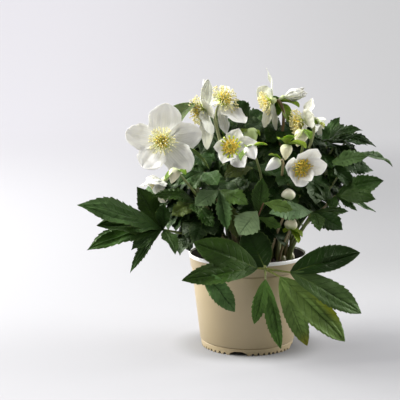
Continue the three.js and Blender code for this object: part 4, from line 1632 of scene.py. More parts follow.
LEAVES: tuple[Leaf, ...] = (
    # The big leaf spreading to the left.
    Leaf((-30, -18), (-85, -52, 129), direction(205, 15), (0.1, -0.7, 0.7), (
        Leaflet((-163, -107, 162), 27, tone=Tone.SHEEN_GREY, wave=1.2),
        Leaflet((-110, -56, 172), 22, 0.02, fold=4),
        Leaflet((-146, -97, 141), 25, 0.04, 8),
        Leaflet((-118, -86, 134), 15, 0.06, 20, tone=Tone.SHEEN_GREY),
        Leaflet((-155, -101, 118), 24, 0.08, 12),
        Leaflet((-114, -90, 116), 14, 0.08, 5, tone=Tone.SHEEN_GREY),
        Leaflet((-115, -95, 95), 9, 0.12, 10, tone=Tone.SHEEN_GREY, twist=60),
        Leaflet((-72, -91, 112), 15, 0.1, tone=Tone.SHEEN_GREY, twist=50),
        Leaflet((-84, -64, 157), 14, 0.02, -20, tone=Tone.DEEP),
    ), tooth=0.7),
    # The old leaf hanging over the front of the pot, most of its leaflets on short branches.
    Leaf((12, -30), (14, -76, 95), direction(-85, -55), (0, -0.97, 0.25), (
        Leaflet((-4, -64, 132), 31, 0.02, tone=Tone.DEEP),
        Leaflet((-55, -94, 124), 29, 0.05, 6, 0),
        Leaflet((-66, -110, 91), 21, 0.05, 14, 0),
        Leaflet((-16, -106, 60), 19, 0.08, -6, tone=Tone.SHEEN_GREY, foot=(-46, -98, 97)),
        Leaflet((3, -90, 44), 13, 0.04, 0, 2, tone=Tone.MOSS),
        Leaflet((29, -88, 19), 14, 0.06, 0, 2, tone=Tone.MOSS, skew=0.2),
        Leaflet((55, -81, 20), 20, 0.06, 4, 3, tone=Tone.SUNLIT, tip_tone=Tone.AMBER),
        Leaflet((92, -76, 23), 27, 0.06, -10, 3, tone=Tone.SUNLIT, edge_tone=Tone.YELLOW, edge_side=-1.0),
        Leaflet((108, -72, 50), 24, 0.08, -12, 1, tone=Tone.SHEEN_GREY),
        Leaflet((107, -62, 108), 25, 0.03, -10, 1, tone=Tone.DEEP, skew=-0.2),
    ), reach=0.55, arms=((6, -79, 96), (38, -78, 92), (14, -83, 86), (28, -81, 88)), stalk_tone=Tone.SHOOT,
         stalk_radius=2.7, tooth=0.5, blunt=True),
    # Right side, from low to high.
    Leaf((42, -10), (87, -20, 158), direction(-10, 50), (-0.1, -0.75, 0.65), (
        Leaflet((134, -26, 174), 21),
        Leaflet((124, -44, 158), 16),
        Leaflet((80, -38, 146), 10),
        Leaflet((108, -28, 144), 6, 0.04),
        Leaflet((131, 0, 138), 5, 0.06, tone=Tone.SHEEN_GREY),
        Leaflet((120, 8, 166), 16, 0.06),
    ), stalk_tone=Tone.TAN),
    Leaf((38, -2), (80, -2, 187), direction(0, 60), (-0.1, -0.7, 0.7), (
        Leaflet((119, -16, 197), 18, 0.08, tone=Tone.SHEEN_GREY),
        Leaflet((93, -4, 164), 13, 0.06, tone=Tone.DEEP),
        Leaflet((160, 80, 175), 8, 0.13),
        Leaflet((128, 4, 180), 17, 0.08, tone=Tone.DEEP),
        Leaflet((104, -20, 172), 14, 0.08, tone=Tone.DEEP),
        Leaflet((108, 16, 170), 14, 0.1),
    ), stalk_tone=Tone.TAN),
    Leaf((35, 9), (84, 20, 206), direction(15, 60), (-0.2, -0.6, 0.75), (
        Leaflet((117, 8, 221), 9, 0.25),
        Leaflet((132, 14, 203), 9, 0.25),
        Leaflet((113, 22, 221), 14),
        Leaflet((100, 26, 226), 12, 0.04),
        Leaflet((126, 34, 203), 6, 0.1),
        Leaflet((82, -2, 212), 13, 0.1),
        Leaflet((108, 8, 189), 15, 0.08),
    ), tone=Tone.DEEP),
    Leaf((27, 20), (76, 44, 198), direction(40, 65), (0.2, -0.5, 0.8), (
        Leaflet((98, 46, 232), 12, tone=Tone.SHEEN_GREY),
        Leaflet((112, 66, 214), 14, 0.1),
        Leaflet((92, 84, 206), 15, 0.12),
        Leaflet((62, 80, 210), 15, 0.12),
        Leaflet((108, 50, 190), 13, 0.12),
    )),
    # Front right, below the flowers.
    Leaf((40, -28), (62, -42, 145), direction(-50, 60), (0, -0.8, 0.6), (
        Leaflet((90, -60, 130), 18, 0.04, tone=Tone.DEEP),
        Leaflet((17, -76, 149), 20, tone=Tone.SHEEN_PALE),
        Leaflet((98, -38, 145), 8),
        Leaflet((66, -78, 132), 12, 0.08),
    ), stalk_radius=2.4),
    # Front middle.
    Leaf((4, -14), (7, -62, 143), direction(-80, 45), (0, -0.85, 0.5), (
        Leaflet((-12, -87, 130), 25, 0.04, tone=Tone.SHEEN_SILVER, foot=(6, -73, 151)),
        Leaflet((30, -64, 133), 9, 0.06, tone=Tone.MOSS),
        Leaflet((40, -80, 153), 12, 0.06, branch=0, tone=Tone.MOSS),
        Leaflet((11, -71, 183), 15),
    ), arms=((12, -75, 159),), stalk_tone=Tone.RED),
    # Front left, low.
    Leaf((-16, -34), (-52, -58, 155), direction(240, 55), (-0.1, -0.75, 0.65), (
        Leaflet((-94, -84, 167), 13, 0.16),
        Leaflet((-76, -76, 147), 15, 0.06, tone=Tone.OLIVE),
        Leaflet((-50, -90, 150), 12, 0.1),
        Leaflet((-36, -80, 136), 12),
    ), stalk_tone=Tone.TAN, stalk_radius=2.2),
    # Front left, higher.
    Leaf((-10, -22), (-30, -60, 169), direction(-110, 55), (0, -0.8, 0.6), (
        Leaflet((-54, -81, 157), 16, tone=Tone.SHEEN_PALE),
        Leaflet((-23, -84, 134), 16, 0.06, tone=Tone.SHEEN_GREY, fold=35),
        Leaflet((-3, -78, 158), 15, 0.06, tone=Tone.MOSS),
        Leaflet((-12, -62, 122), 13, 0.08, tone=Tone.OLIVE),
    ), stalk_tone=Tone.TAN),
    Leaf((-12, -12), (-45, -56, 186), direction(235, 60), (-0.1, -0.7, 0.7), (
        Leaflet((-70, -71, 176), 14, 0.1, tone=Tone.SHEEN_GREY),
        Leaflet((-32, -80, 177), 17, 0.08, tone=Tone.SHEEN_GREY),
        Leaflet((-58, -50, 170), 14),
    ), stalk_tone=Tone.TAN),
    Leaf((2, -6), (2, -44, 189), direction(-95, 60), (0.1, -0.7, 0.7), (
        Leaflet((-26, -66, 182), 15, 0.15, tone=Tone.OLIVE),
        Leaflet((4, -48, 149), 16, tone=Tone.DEEP),
        Leaflet((30, -34, 182), 14, 0.08, tone=Tone.DEEP),
    )),
    # The leaf that stands behind the top flowers.
    Leaf((6, 10), (2, 36, 227), direction(110, 75), (0, -0.75, 0.65), (
        Leaflet((-13, 38, 250), 19, 0.03, tone=Tone.DEEP),
        Leaflet((17, 42, 237), 19, 0.03, tone=Tone.DEEP),
        Leaflet((26, 30, 224), 15, 0.08, tone=Tone.SHEEN_GREY),
        Leaflet((-22, 34, 220), 14, 0.08, tone=Tone.DEEP),
        Leaflet((0, 66, 232), 14, 0.1, tone=Tone.DEEP),
    )),
    # Deep in the plant, facing forwards.
    Leaf((-24, 2), (-54, 2, 196), direction(245, 70), direction(245, 60), Fan(245, 30, 36, 19, spread=170),
         tone=Tone.DEEP),
    Leaf((32, -10), (58, -24, 176), direction(-45, 65), direction(-45, 50), Fan(-45, 40, 32, 20, spread=150),
         tone=Tone.DEEP),
    # Round the left side and the back.
    Leaf((-32, 6), (-68, 26, 164), direction(170, 45), direction(170, 75), Fan(170, 15, 50, 20)),
    Leaf((-14, 20), (-34, 56, 196), direction(120, 50), direction(120, 60), Fan(120, 30, 50, 21)),
    Leaf((6, 30), (14, 72, 182), direction(85, 45), direction(85, 55), Fan(85, 35, 50, 22)),
    Leaf((34, 22), (70, 56, 162), direction(40, 40), direction(40, 65), Fan(40, 25, 52, 21)),
    Leaf((-24, 30), (-48, 72, 132), direction(125, 30), direction(125, 60), Fan(125, 30, 52, 22)),
    Leaf((16, 40), (30, 78, 122), direction(75, 25), direction(75, 55), Fan(75, 35, 44, 20)),
)


@dataclass(frozen=True)
class Thicket:
    """Leaves deep inside the plant that close it behind the ones round it.

    hubs are x, y and z of the point where a leaf's leaflets meet, and the heading that it faces.
    """

    name: str
    hubs: Sequence[tuple[float, float, float, float]]
    length: float = 38.0
    width: float = 19.0
    seed: int = 300

    def build(self) -> None:
        """Builds the leaves as one piece."""
        rng = np.random.default_rng(self.seed)
        shapes = []
        for number, (x, y, z, heading) in enumerate(self.hubs):
            size = rng.uniform(0.85, 1.1)
            fan = Fan(heading, rng.uniform(20, 50), self.length * size, self.width * size,
                      spread=rng.uniform(150, 220), count=int(rng.integers(5, 8)))
            leaf = Leaf((0.45 * x, 0.45 * y), (x, y, z), direction(heading, 60), direction(heading, 55), fan,
                        tone=Tone.SHADE if rng.random() < 0.6 else Tone.DEEP, plain=True)
            shapes.append(leaf.build(self.seed + number))
        add_piece(self.name, Shape.joined(shapes), (LEAF_GREEN, PETIOLE_GREEN))


THICKETS: tuple[Thicket, ...] = (
    Thicket("inner_leaves_front", (
        (-2, -34, 178, 268), (13, -28, 190, 275), (28, -32, 172, 285), (-22, -36, 176, 255),
        (-54, -38, 158, 225), (-60, -30, 176, 210), (-42, -46, 142, 245), (6, -40, 150, 270),
        (40, -34, 186, 290)
    ), 32.0, 17.0, seed=450),
    Thicket("inner_leaves_left", (
        (-52, 10, 172, 200), (-34, 6, 162, 250), (-60, -12, 148, 215), (-36, -22, 142, 240),
        (-34, 24, 182, 140), (-58, 34, 144, 160)
    ), seed=300),
    Thicket("inner_leaves_middle", (
        (-14, -4, 168, 270), (10, 2, 172, 275), (-10, -26, 146, 262), (18, -26, 140, 285),
        (22, 24, 204, 80), (-10, 26, 190, 100), (-16, 50, 156, 110), (22, 56, 156, 75)
    ), seed=330),
    Thicket("inner_leaves_right", (
        (30, 6, 186, 290), (42, 18, 204, 300), (56, 20, 192, 320), (66, 30, 202, 340), (46, -8, 160, 305),
        (62, 12, 154, 330), (50, 34, 166, 45), (66, 36, 136, 20)
    ), seed=360),
    Thicket("inner_leaves_side", (
        (84, 0, 186, 350), (78, 10, 174, 330), (92, -8, 178, 340), (96, 14, 196, 10), (88, 12, 203, 345),
        (100, 16, 208, 0), (82, 8, 162, 340), (74, 4, 196, 320)
    ), 28.0, 14.0, seed=420),
    Thicket("inner_leaves_low", (
        (-64, -30, 146, 215), (-50, -40, 138, 235), (-72, -26, 160, 205), (-40, -48, 128, 245),
        (-58, -34, 124, 225)
    ), 26.0, 15.0, seed=480),
    Thicket("inner_leaves_high", (
        (16, 26, 214, 250), (30, 34, 212, 290), (48, 40, 214, 60), (70, 44, 206, 30), (84, 34, 196, 10),
        (-24, 22, 208, 200), (-12, 16, 218, 250), (8, 30, 226, 70), (34, 22, 224, 280), (48, 28, 226, 330),
        (20, 10, 206, 270), (62, 24, 214, 320), (-30, 4, 196, 230), (-34, 20, 216, 270),
        (-26, 26, 230, 265), (-42, 16, 202, 250), (-18, 22, 222, 280), (16, 26, 228, 265)
    ), 30.0, 17.0, seed=390),
)


@dataclass(frozen=True)
class Foliage:
    """Every leaf that a plain solid stands for, and those between them."""

    thickets: Sequence[Thicket] = THICKETS
    leaves: Sequence[Leaf] = LEAVES

    def build(self) -> None:
        """Builds the leaves."""
        for thicket in self.thickets:
            thicket.build()
        for number, leaf in enumerate(self.leaves, 1):
            add_piece(f"green_leaf_{number:02d}", leaf.build(number), (LEAF_GREEN, PETIOLE_GREEN),
                      f"leaf_{number:02d}")


# ---- flowers
@dataclass(frozen=True)
class Bract:
    """A small leaf on a flower's stalk: its tip seen from its foot, and its share of the stalk's length."""

    offset: Point
    width: float
    tone: Tone = Tone.LIME
    share: float = 0.97
    fuller: float = 1.1

    def build(self, stalk: Stalk, seed: int) -> Shape:
        """Builds the bract on its stalk.

        Args:
            stalk: what it grows on.
            seed: what its waves are drawn from.

        Returns:
            Its shape.
        """
        foot = stalk.at(self.share)
        blade = Blade(foot, foot + np.array(self.offset, float), self.width * self.fuller, UP, BRACT,
                      arch=0.12, fold=16, cup=0.1, wave=0.4, thickness=0.4, rib=0.5, tone=self.tone.value,
                      seed=seed)
        return blade.build()


@dataclass(frozen=True)
class Sepal:
    """One sepal: its tip seen from the flower's centre, its width and its turn about its own length."""

    tip: Point
    width: float | None = None
    turn: float = 9.0
    tone: Tone | None = None


@dataclass(frozen=True)
class Boss:
    """The middle of a flower, made along +Z: stamens, styles and a ring of nectaries.

    size is how large the stamens are, splay how far the outer ones lean in degrees, gold how much of
    the open ones is golden, and nectary how large the nectaries are. lift and ring_lift are how far
    the stamens and the nectaries stand off the flower's centre.
    """

    size: float
    splay: float
    gold: float
    nectary: float
    lift: float = 1.8
    ring_lift: float = 3.2
    cream: Colour = (0.86, 0.83, 0.52)
    golden: Colour = (0.93, 0.73, 0.12)
    thread: Colour = (0.78, 0.77, 0.50)
    golden_thread: Colour = (0.84, 0.66, 0.10)
    thread_foot: Colour = (0.58, 0.62, 0.12)
    lime: Colour = (0.46, 0.54, 0.03)
    style: Colour = (0.55, 0.60, 0.16)
    styles: int = 6
    style_circle: float = 0.8
    style_height: float = 9.5

    def build(self, seed: int) -> Shape:
        """Builds it.

        Args:
            seed: what varies it.

        Returns:
            It all, in the order filament, anther and nectary of finishes.
        """
        cream, golden = np.array(self.cream), np.array(self.golden)
        open_ones = self.whorl(104, 2.8, 11.5, self.splay + 10, seed, cream + (golden - cream) * self.gold)
        young_ones = self.whorl(54, 2.2, 7.2, 0.5 * self.splay, seed + 50, golden)
        return Shape.joined([open_ones, young_ones, self.ring(seed), *self.style_shapes()])

    def whorl(self, count: int, foot: float, length: float, lean: float, seed: int,
              anther: Array) -> Shape:
        """Grows stamens and colours them.

        Args:
            count: how many there are.
            foot: the radius of the disc that they stand on.
            length: how long the longest are, in a boss of size 1.
            lean: how far the outer ones lean, in degrees.
            seed: what varies them.
            anther: the anthers' colour.

        Returns:
            Them, the filaments with a lime foot.
        """
        stamens = stamen_tree().grow(seed_point(), {
            "Count": count, "Foot Radius": foot * METRE, "Length": length * self.size * METRE,
            "Splay": math.radians(lean), "Seed": seed, "Filament": FILAMENT, "Anther": ANTHER})
        golden = 0.8 * self.gold
        thread = np.array(self.thread) * (1 - golden) + np.array(self.golden_thread) * golden
        height = smooth(1.0, 6.0, stamens.points[:, 2])[:, None]
        tint = np.array(self.thread_foot) * (1 - height) + thread * height
        tint[stamens.corners[np.repeat(stamens.finish, stamens.sizes) == 1]] = anther
        return replace(stamens, tint=tint).moved(np.eye(3), UP * self.lift)

    def ring(self, seed: int) -> Shape:
        """Grows the ring of nectaries.

        Args:
            seed: what their differences are drawn from.

        Returns:
            Its shape.
        """
        ring = nectary_tree().grow(seed_point(), {
            "Count": 14, "Ring Radius": 3.4 * self.nectary * METRE, "Length": 4.8 * self.nectary * METRE,
            "Flare": math.radians(min(62, self.splay + 14)), "Seed": seed, "Coat": NECTARY})
        return ring.tinted(self.lime).finished(2).moved(np.eye(3), UP * self.ring_lift)

    def style_shapes(self) -> list[Shape]:
        """Grows the styles in the middle, each spreading a little and then upright.

        Returns:
            One shape for each style.
        """
        shapes = []
        for i in range(self.styles):
            turn = i * math.pi / 3 + 0.2
            foot = np.array([math.cos(turn), math.sin(turn), 0]) * self.style_circle
            top = foot * 2.6 + UP * self.style_height
            path = np.array([foot, foot + UP * 4, top - UP * 3, top]) + UP * self.lift
            shapes.append(tube(path, 0.7, 0.28, steps=8).tinted(self.style).finished(0))
        return shapes


@dataclass(frozen=True)
class Flower:
    """A flower on its stalk.

    centre is the middle of its receptacle, heading and tilt say where it looks, splay how wide its
    stamens stand in degrees, boss how large they are, gold how much of them is golden, and nectary
    how large the nectaries are. widths is a sepal's width as a share of its length.
    """

    number: int
    root: Point
    centre: Point
    heading: float
    tilt: float
    sepals: Sequence[Sepal]
    splay: float = 50.0
    arrival: Point | None = None
    bracts: Sequence[Bract] = ()
    widths: float = 0.9
    cup: float = 0.18
    arch: float = -0.07
    wave: float = 0.06
    boss: float = 1.0
    gold: float = 0.2
    nectary: float = 1.0
    tone: Tone = Tone.WHITE
    stalk_tone: Tone = Tone.PALE
    open: bool = True
    outline: Outline = SEPAL
    receptacle_radius: float = 3.6
    receptacle_back: float = 4.5
    stalk_radius: float = 1.9

    def axis(self) -> Array:
        """Returns the way that the flower looks."""
        return direction(self.heading, self.tilt)

    def turned(self, shape: Shape) -> Shape:
        """Stands a shape made along +Z on the flower's axis, at its centre."""
        return shape.moved(standing_on(self.axis()), np.array(self.centre, float))

    def stalk(self) -> Stalk:
        """Works out the flower's stalk, which ends behind its receptacle.

        Returns:
            The stalk.
        """
        axis = self.axis()
        arrival = axis if self.arrival is None else np.array(self.arrival)
        corner = 2.0 * math.sin(math.acos(np.clip(arrival @ axis, -1, 1)))
        end = np.array(self.centre, float) - axis * (self.receptacle_back + GAP + corner)
        return Stalk(self.root, tuple(end), tuple(arrival), 0.16, self.stalk_radius, 0.85 * self.stalk_radius,
                     self.stalk_tone)

    def build_stem(self, seed: int) -> Shape:
        """Builds the stalk with its bracts.

        Args:
            seed: the seed of its first bract.

        Returns:
            Its shape.
        """
        stalk = self.stalk()
        shapes = [stalk.build().finished(1)]
        shapes += [bract.build(stalk, seed + i) for i, bract in enumerate(self.bracts)]
        return Shape.joined(shapes)

    def build_sepals(self, seed: int) -> Shape:
        """Builds the receptacle and the sepals, each with one margin over its neighbour.

        Args:
            seed: what the sepals' differences are drawn from.

        Returns:
            Their shape.
        """
        rng = np.random.default_rng(seed)
        shapes = [self.turned(self.receptacle()).tinted(Tone.GREENISH.value)]
        shapes += [self.sepal(sepal, rng).build() for sepal in self.sepals]
        return Shape.joined(shapes)

    def sepal(self, sepal: Sepal, rng: np.random.Generator) -> Blade:
        """Turns one sepal into a blade, each a little different.

        Args:
            sepal: which one.
            rng: what its differences are drawn from.

        Returns:
            The blade.
        """
        centre, reach = np.array(self.centre, float), np.array(sepal.tip, float)
        length = float(np.linalg.norm(reach))
        width = sepal.width or self.widths * length * rng.uniform(0.94, 1.08)
        tone = tuple(np.array((sepal.tone or self.tone).value) * rng.uniform(0.95, 1.04))
        return Blade(
            centre + unit(reach) * 0.8, centre + reach, width, self.axis(), self.outline,
            self.arch * rng.uniform(0.8, 1.4), sepal.turn + rng.uniform(-2, 3), fold=3,
            cup=self.cup * rng.uniform(0.7, 1.2), wave=self.wave * length * rng.uniform(0.5, 1.1),
            pleat=0.014 * length, twist=rng.uniform(-8, 8), sweep=0.0, ragged=0.035,
            hook=rng.uniform(-0.04, 0.05), thickness=0.45, rib=0.35, tone=tone,
            seed=int(rng.integers(1 << 30)))

    def receptacle(self) -> Shape:
        """Builds the little cone that carries the sepals, along +Z.

        Returns:
            Its shape.
        """
        back = -self.receptacle_back
        profile = ((0.0, back), (0.62, back), (0.85, -2.0), (1.0, 0.0), (0.8, 1.2), (0.0, 1.5))
        return lathe([(r * self.receptacle_radius, z) for r, z in profile], 16)

    def build(self) -> None:
        """Builds the flower's pieces in place of its plain solids."""
        number, seed = self.number, 20 + self.number
        add_piece(f"flower_stalk_{number}", self.build_stem(10 * seed), (BRACT_GREEN, PETIOLE_GREEN),
                  f"flower_stem_{number}")
        add_piece(f"white_sepals_{number}", self.build_sepals(seed), (SEPAL_WHITE,),
                  f"flower_sepals_{number}")
        if self.open:
            boss = Boss(self.boss, self.splay, self.gold, self.nectary)
            add_piece(f"stamen_boss_{number}", self.turned(boss.build(seed)), (FILAMENT, ANTHER, NECTARY),
                      f"flower_stamens_{number}")


def sepals(*tips: Point) -> list[Sepal]:
    """Returns sepals with these tips and nothing else of their own."""
    return [Sepal(tip) for tip in tips]


FLOWERS: tuple[Flower, ...] = (
    Flower(1, (-26, -30), (-84, -68, 217), -97, 12,
           (Sepal((-36, 4, 9), 26), Sepal((3, 12, 36), 33), Sepal((37, 6, 8), 28, 20),
            Sepal((26, -8, -27), 30), Sepal((-19, -9, -24), 30)), 55, cup=0.07, wave=0.04, gold=0.1,
           outline=ROUND_SEPAL,
           bracts=(Bract((43, 4, -26), 15, Tone.OLIVE, share=0.95),
                   Bract((30, 46, 36), 24, Tone.OLIVE, share=0.93))),
    Flower(2, (-14, -2), (-44, -22, 244), 195, -5,
           (Sepal((2, -12, -38), 20, 60), Sepal((4, -22, -22), 26, 40), Sepal((3, 6, 30), 12, 75, Tone.SHADED_SHEER),
            Sepal((7, -22, 4), 22, 25), Sepal((-6, 28, 6), 20)), 50,
           arrival=direction(185, 70), boss=1.15, wave=0.02, tone=Tone.SHADED_WHITE),
    Flower(3, (-8, 4), (-27, 4, 250), -50, 38,
           (Sepal((23, -26, -19), 25), Sepal((4, -24, -30), 12), Sepal((-21, 4, 0), 14),
            Sepal((-18, 20, 22), 16), Sepal((9, 20, 14), 16)), 60, boss=1.2, gold=0.15,
           bracts=(Bract((8, -6, -22), 11, Tone.FRESH, share=0.86),)),
    Flower(4, (12, 4), (24, 8, 251), 196, -14,
           (Sepal((-14, 8, 13), 18, 40, Tone.SHADED_SHEER), Sepal((-6, 3, 33), 5, 0, Tone.SHADED_SHEER),
            Sepal((-7, 3, -28), 17, 60), Sepal((5, 2, -30), 13, 45), Sepal((-2, 28, 6), 18)), 40,
           arrival=direction(190, 35), gold=0.25, boss=0.95, wave=0.03, tone=Tone.SHADED_WHITE,
           stalk_tone=Tone.RUSSET),
    Flower(6, (30, 3), (57, 2, 230), 196, -6,
           sepals((8, 4, 24), (6, -26, 10), (-4, -18, -16), (-2, 14, -21), (10, 26, 6)), 46, gold=0.3,
           boss=1.15, widths=0.75, tone=Tone.SHADED_WHITE),
    Flower(7, (-6, -16), (-18, -52, 210), -105, 14,
           (Sepal((-18, -8, 1), 16), Sepal((7, 4, 18), 19), Sepal((26, -2, 4), 18), Sepal((12, -14, -18), 20),
            Sepal((-9, -14, -14), 19)), 34, gold=1.0, boss=0.52, nectary=1.5, outline=POINTED_SEPAL,
           tone=Tone.BRIGHT),
    Flower(8, (30, -22), (48, -54, 190), -70, -2,
           (Sepal((15, -13, 20), 26), Sepal((25, -11, 5), 21), Sepal((10, -17, -10), 15),
            Sepal((-5, -17, -15), 23), Sepal((-15, -14, 3), 19)), 36, cup=0.24, gold=1.0, boss=0.76,
           nectary=1.1, tone=Tone.BRIGHT),
    Flower(9, (-34, -6), (-84, -26, 174), 207, -48,
           sepals((-24, -10, -4), (-4, -18, -19), (4, 12, -20), (-18, 14, -6), (-14, -20, 0)), 12),
    Flower(10, (28, 29), (75, 52, 226), 60, -45,
           sepals((-10, 2, 6), (-8, -8, -12), (0, 2, -17), (8, 10, -8), (6, 14, 4)), 20, boss=0.35,
           bracts=(Bract((4, 10, -16), 10, share=0.85),)),
    Flower(5, (32, 12), (37, 20, 253), -20, 20,
           (Sepal((24, -7, 6), 13), Sepal((22, -10, 3), 12), Sepal((20, -11, 8), 13), Sepal((21, -4, 11), 12),
            Sepal((23, -3, 5), 12)), arrival=direction(-10, 75),
           cup=0.45, wave=0.02, open=False, outline=POINTED_SEPAL, stalk_tone=Tone.RUSSET,
           bracts=(Bract((21, -14, -4), 14), Bract((10, -12, -19), 14),
                   Bract((0, -10, -13), 8, Tone.SPRING), Bract((-3, -9, 12), 7, Tone.SPRING, share=0.92))),
)


# ---- buds
@dataclass(frozen=True)
class Bud:
    """A bud: sepals still wrapped round each other on their own stalk.

    base is where its head starts, heading and tilt say where it looks, and point how early along its
    length it is widest: the lower, the earlier.
    """

    root: Point
    base: Point
    heading: float
    tilt: float
    length: float
    width: float
    bracts: Sequence[Bract] = ()
    arrival: Point | None = None
    tone: Tone = Tone.CREAM
    point: float = 0.55
    stalk_tone: Tone = Tone.STALK
    sides: int = 40
    rings: int = 22

    def build(self, number: int) -> None:
        """Builds the bud in place of its plain solid.

        Args:
            number: the bud's number, which also seeds its bracts.
        """
        axis = direction(self.heading, self.tilt)
        base = np.array(self.base, float)
        arrival = axis if self.arrival is None else np.array(self.arrival)
        stalk = Stalk(self.root, tuple(base + axis * 1.5), tuple(arrival), 0.15, 1.5, 1.2, self.stalk_tone)
        shapes = [self.wrapped(number).moved(standing_on(axis), base), stalk.build().finished(1)]
        for seed, bract in enumerate(self.bracts, 70 + 10 * number):
            shapes.append(bract.build(stalk, seed).finished(2))
        finishes = (BUD_CREAM, PETIOLE_GREEN, BRACT_GREEN)
        add_piece(f"closed_bud_{number}", Shape.joined(shapes), finishes, f"bud_{number}")

    def wrapped(self, number: int) -> Shape:
        """Builds the closed head along +Z, each sepal's margin a step over the next one.

        Args:
            number: the bud's number, which turns the margins.

        Returns:
            The head.
        """
        sides = self.sides
        share = np.linspace(0, 1, self.rings)[1:-1]
        radius = self.width / 2 * np.sin(math.pi * share ** self.point) ** 0.8
        turn = np.arange(sides) * 2 * math.pi / sides
        step = (turn[None, :] * 3 / (2 * math.pi) + 0.35 * share[:, None] + 0.3 * number) % 1.0
        swell = 1 + 0.10 * (step - 0.5) * np.sin(math.pi * share)[:, None] ** 0.7
        ring = radius[:, None] * swell
        height = np.broadcast_to((share * self.length)[:, None], ring.shape)
        body = np.stack([ring * np.cos(turn), ring * np.sin(turn), height], axis=-1).reshape(-1, 3)
        points = np.concatenate([[[0, 0, 0]], body, [[0, 0, self.length]]])
        place = 1 + np.arange(len(share) * sides).reshape(len(share), sides)
        after = np.roll(place, -1, axis=1)
        quads = np.stack([place[:-1], after[:-1], after[1:], place[1:]], axis=-1).reshape(-1, 4)
        bottom = np.stack([np.zeros(sides, int), after[0], place[0]], axis=-1)
        top = np.stack([place[-1], after[-1], np.full(sides, len(points) - 1)], axis=-1)
        corners = np.concatenate([bottom.ravel(), quads.ravel(), top.ravel()])
        sizes = np.repeat([3, 4, 3], [sides, len(quads), sides])
        along = np.concatenate([[0], np.repeat(share, sides), [1]])
        around = np.concatenate([[0], ((step - 0.5) * 1.6).ravel(), [0]])
        green = 0.75 * smooth(0.45, 0.0, along)[:, None]
        return replace(Shape.of(points, corners, sizes),
                       grain=np.stack([0.3 + 0.7 * along, around], axis=-1)[corners],
                       tint=np.array(self.tone.value) * (1 - green) + np.array(Tone.GREENISH.value) * green)


BUDS: tuple[Bud, ...] = (
    Bud((1, -2), (0, -16, 224), 300, -50, 17, 14,
        (Bract((11, -4, -6), 9), Bract((-8, -8, -4), 8)), tone=Tone.GREENISH),
    Bud((18, -24), (-3, -73, 213), -55, -45, 16, 13,
        (Bract((16, -2, 4), 10), Bract((-4, -9, 3), 8), Bract((-9, -4, -11), 10, Tone.SPRING)),
        direction(200, 40), Tone.BRIGHT),
    Bud((20, -14), (28, -60, 199), 195, -35, 18, 11, (Bract((-11, -5, 5), 8),), tone=Tone.BRIGHT,
        stalk_tone=Tone.TAN),
    Bud((24, -4), (36, -44, 212), -110, -70, 16, 12,
        (Bract((18, -8, -3), 16), Bract((-9, -9, 6), 13), Bract((7, -11, 9), 13))),
    Bud((-24, -40), (-71, -87, 194), 230, -62, 16, 11,
        (Bract((-10, -5, -8), 10, Tone.SPRING), Bract((8, -6, -3), 9, Tone.SPRING)),
        direction(215, 50)),
    Bud((20, -34), (38, -52, 158), 100, 60, 13, 14, tone=Tone.IVORY, point=0.8, stalk_tone=Tone.TAN),
    Bud((44, 6), (53, -30, 225), 200, -68, 18, 14, (Bract((6, -8, -9), 9, Tone.SPRING),
                                                    Bract((-6, -6, -8), 8))),
    Bud((30, -30), (39, -50, 128), 60, 60, 14, 13,
        (Bract((12, -4, -7), 11), Bract((8, -8, -12), 9), Bract((-6, -6, -2), 7)),
        point=0.8, stalk_tone=Tone.TAN),
)


@dataclass(frozen=True)
class Shoots:
    """New shoots that break through the potting mix, as x, y, height, width and lean in degrees."""

    places: Sequence[tuple[float, float, float, float, float]] = (
        (34, 4, 9, 4, 10), (46, -2, 11, 6, -8), (36, -8, 6, 6, 4), (41, 8, 8, 4, 20), (-22, 22, 8, 4, 12),
        (-6, 34, 9, 5, -10), (24, 30, 7, 4, 8), (-40, 8, 8, 5, 15), (-14, -38, 7, 5, 9))
    sunk: float = 2.0
    mound: float = 3.0

    def build(self) -> None:
        """Builds them as one piece."""
        shapes = []
        for number, (x, y, height, width, lean) in enumerate(self.places):
            head = Bud((x, y), (0, 0, 0), 0, 90, height + self.sunk, width, point=0.62)
            turn = math.radians(lean)
            aside, up = math.sin(turn), math.cos(turn)
            lean_turn = np.array([[up, 0, aside], [0, 1, 0], [-aside, 0, up]])
            foot = np.array([x, y, SOIL_TOP + self.mound - self.sunk])
            shapes.append(head.wrapped(number).moved(lean_turn, foot))
        add_piece("new_shoots", Shape.joined(shapes), (BUD_CREAM,))


@dataclass(frozen=True)
class Blossom:
    """Every flower, bud and new shoot."""

    flowers: Sequence[Flower] = FLOWERS
    buds: Sequence[Bud] = BUDS
    shoots: Shoots = Shoots()

    def build(self) -> None:
        """Builds them."""
        for flower in self.flowers:
            flower.build()
        for number, bud in enumerate(self.buds, 1):
            bud.build(number)
        self.shoots.build()


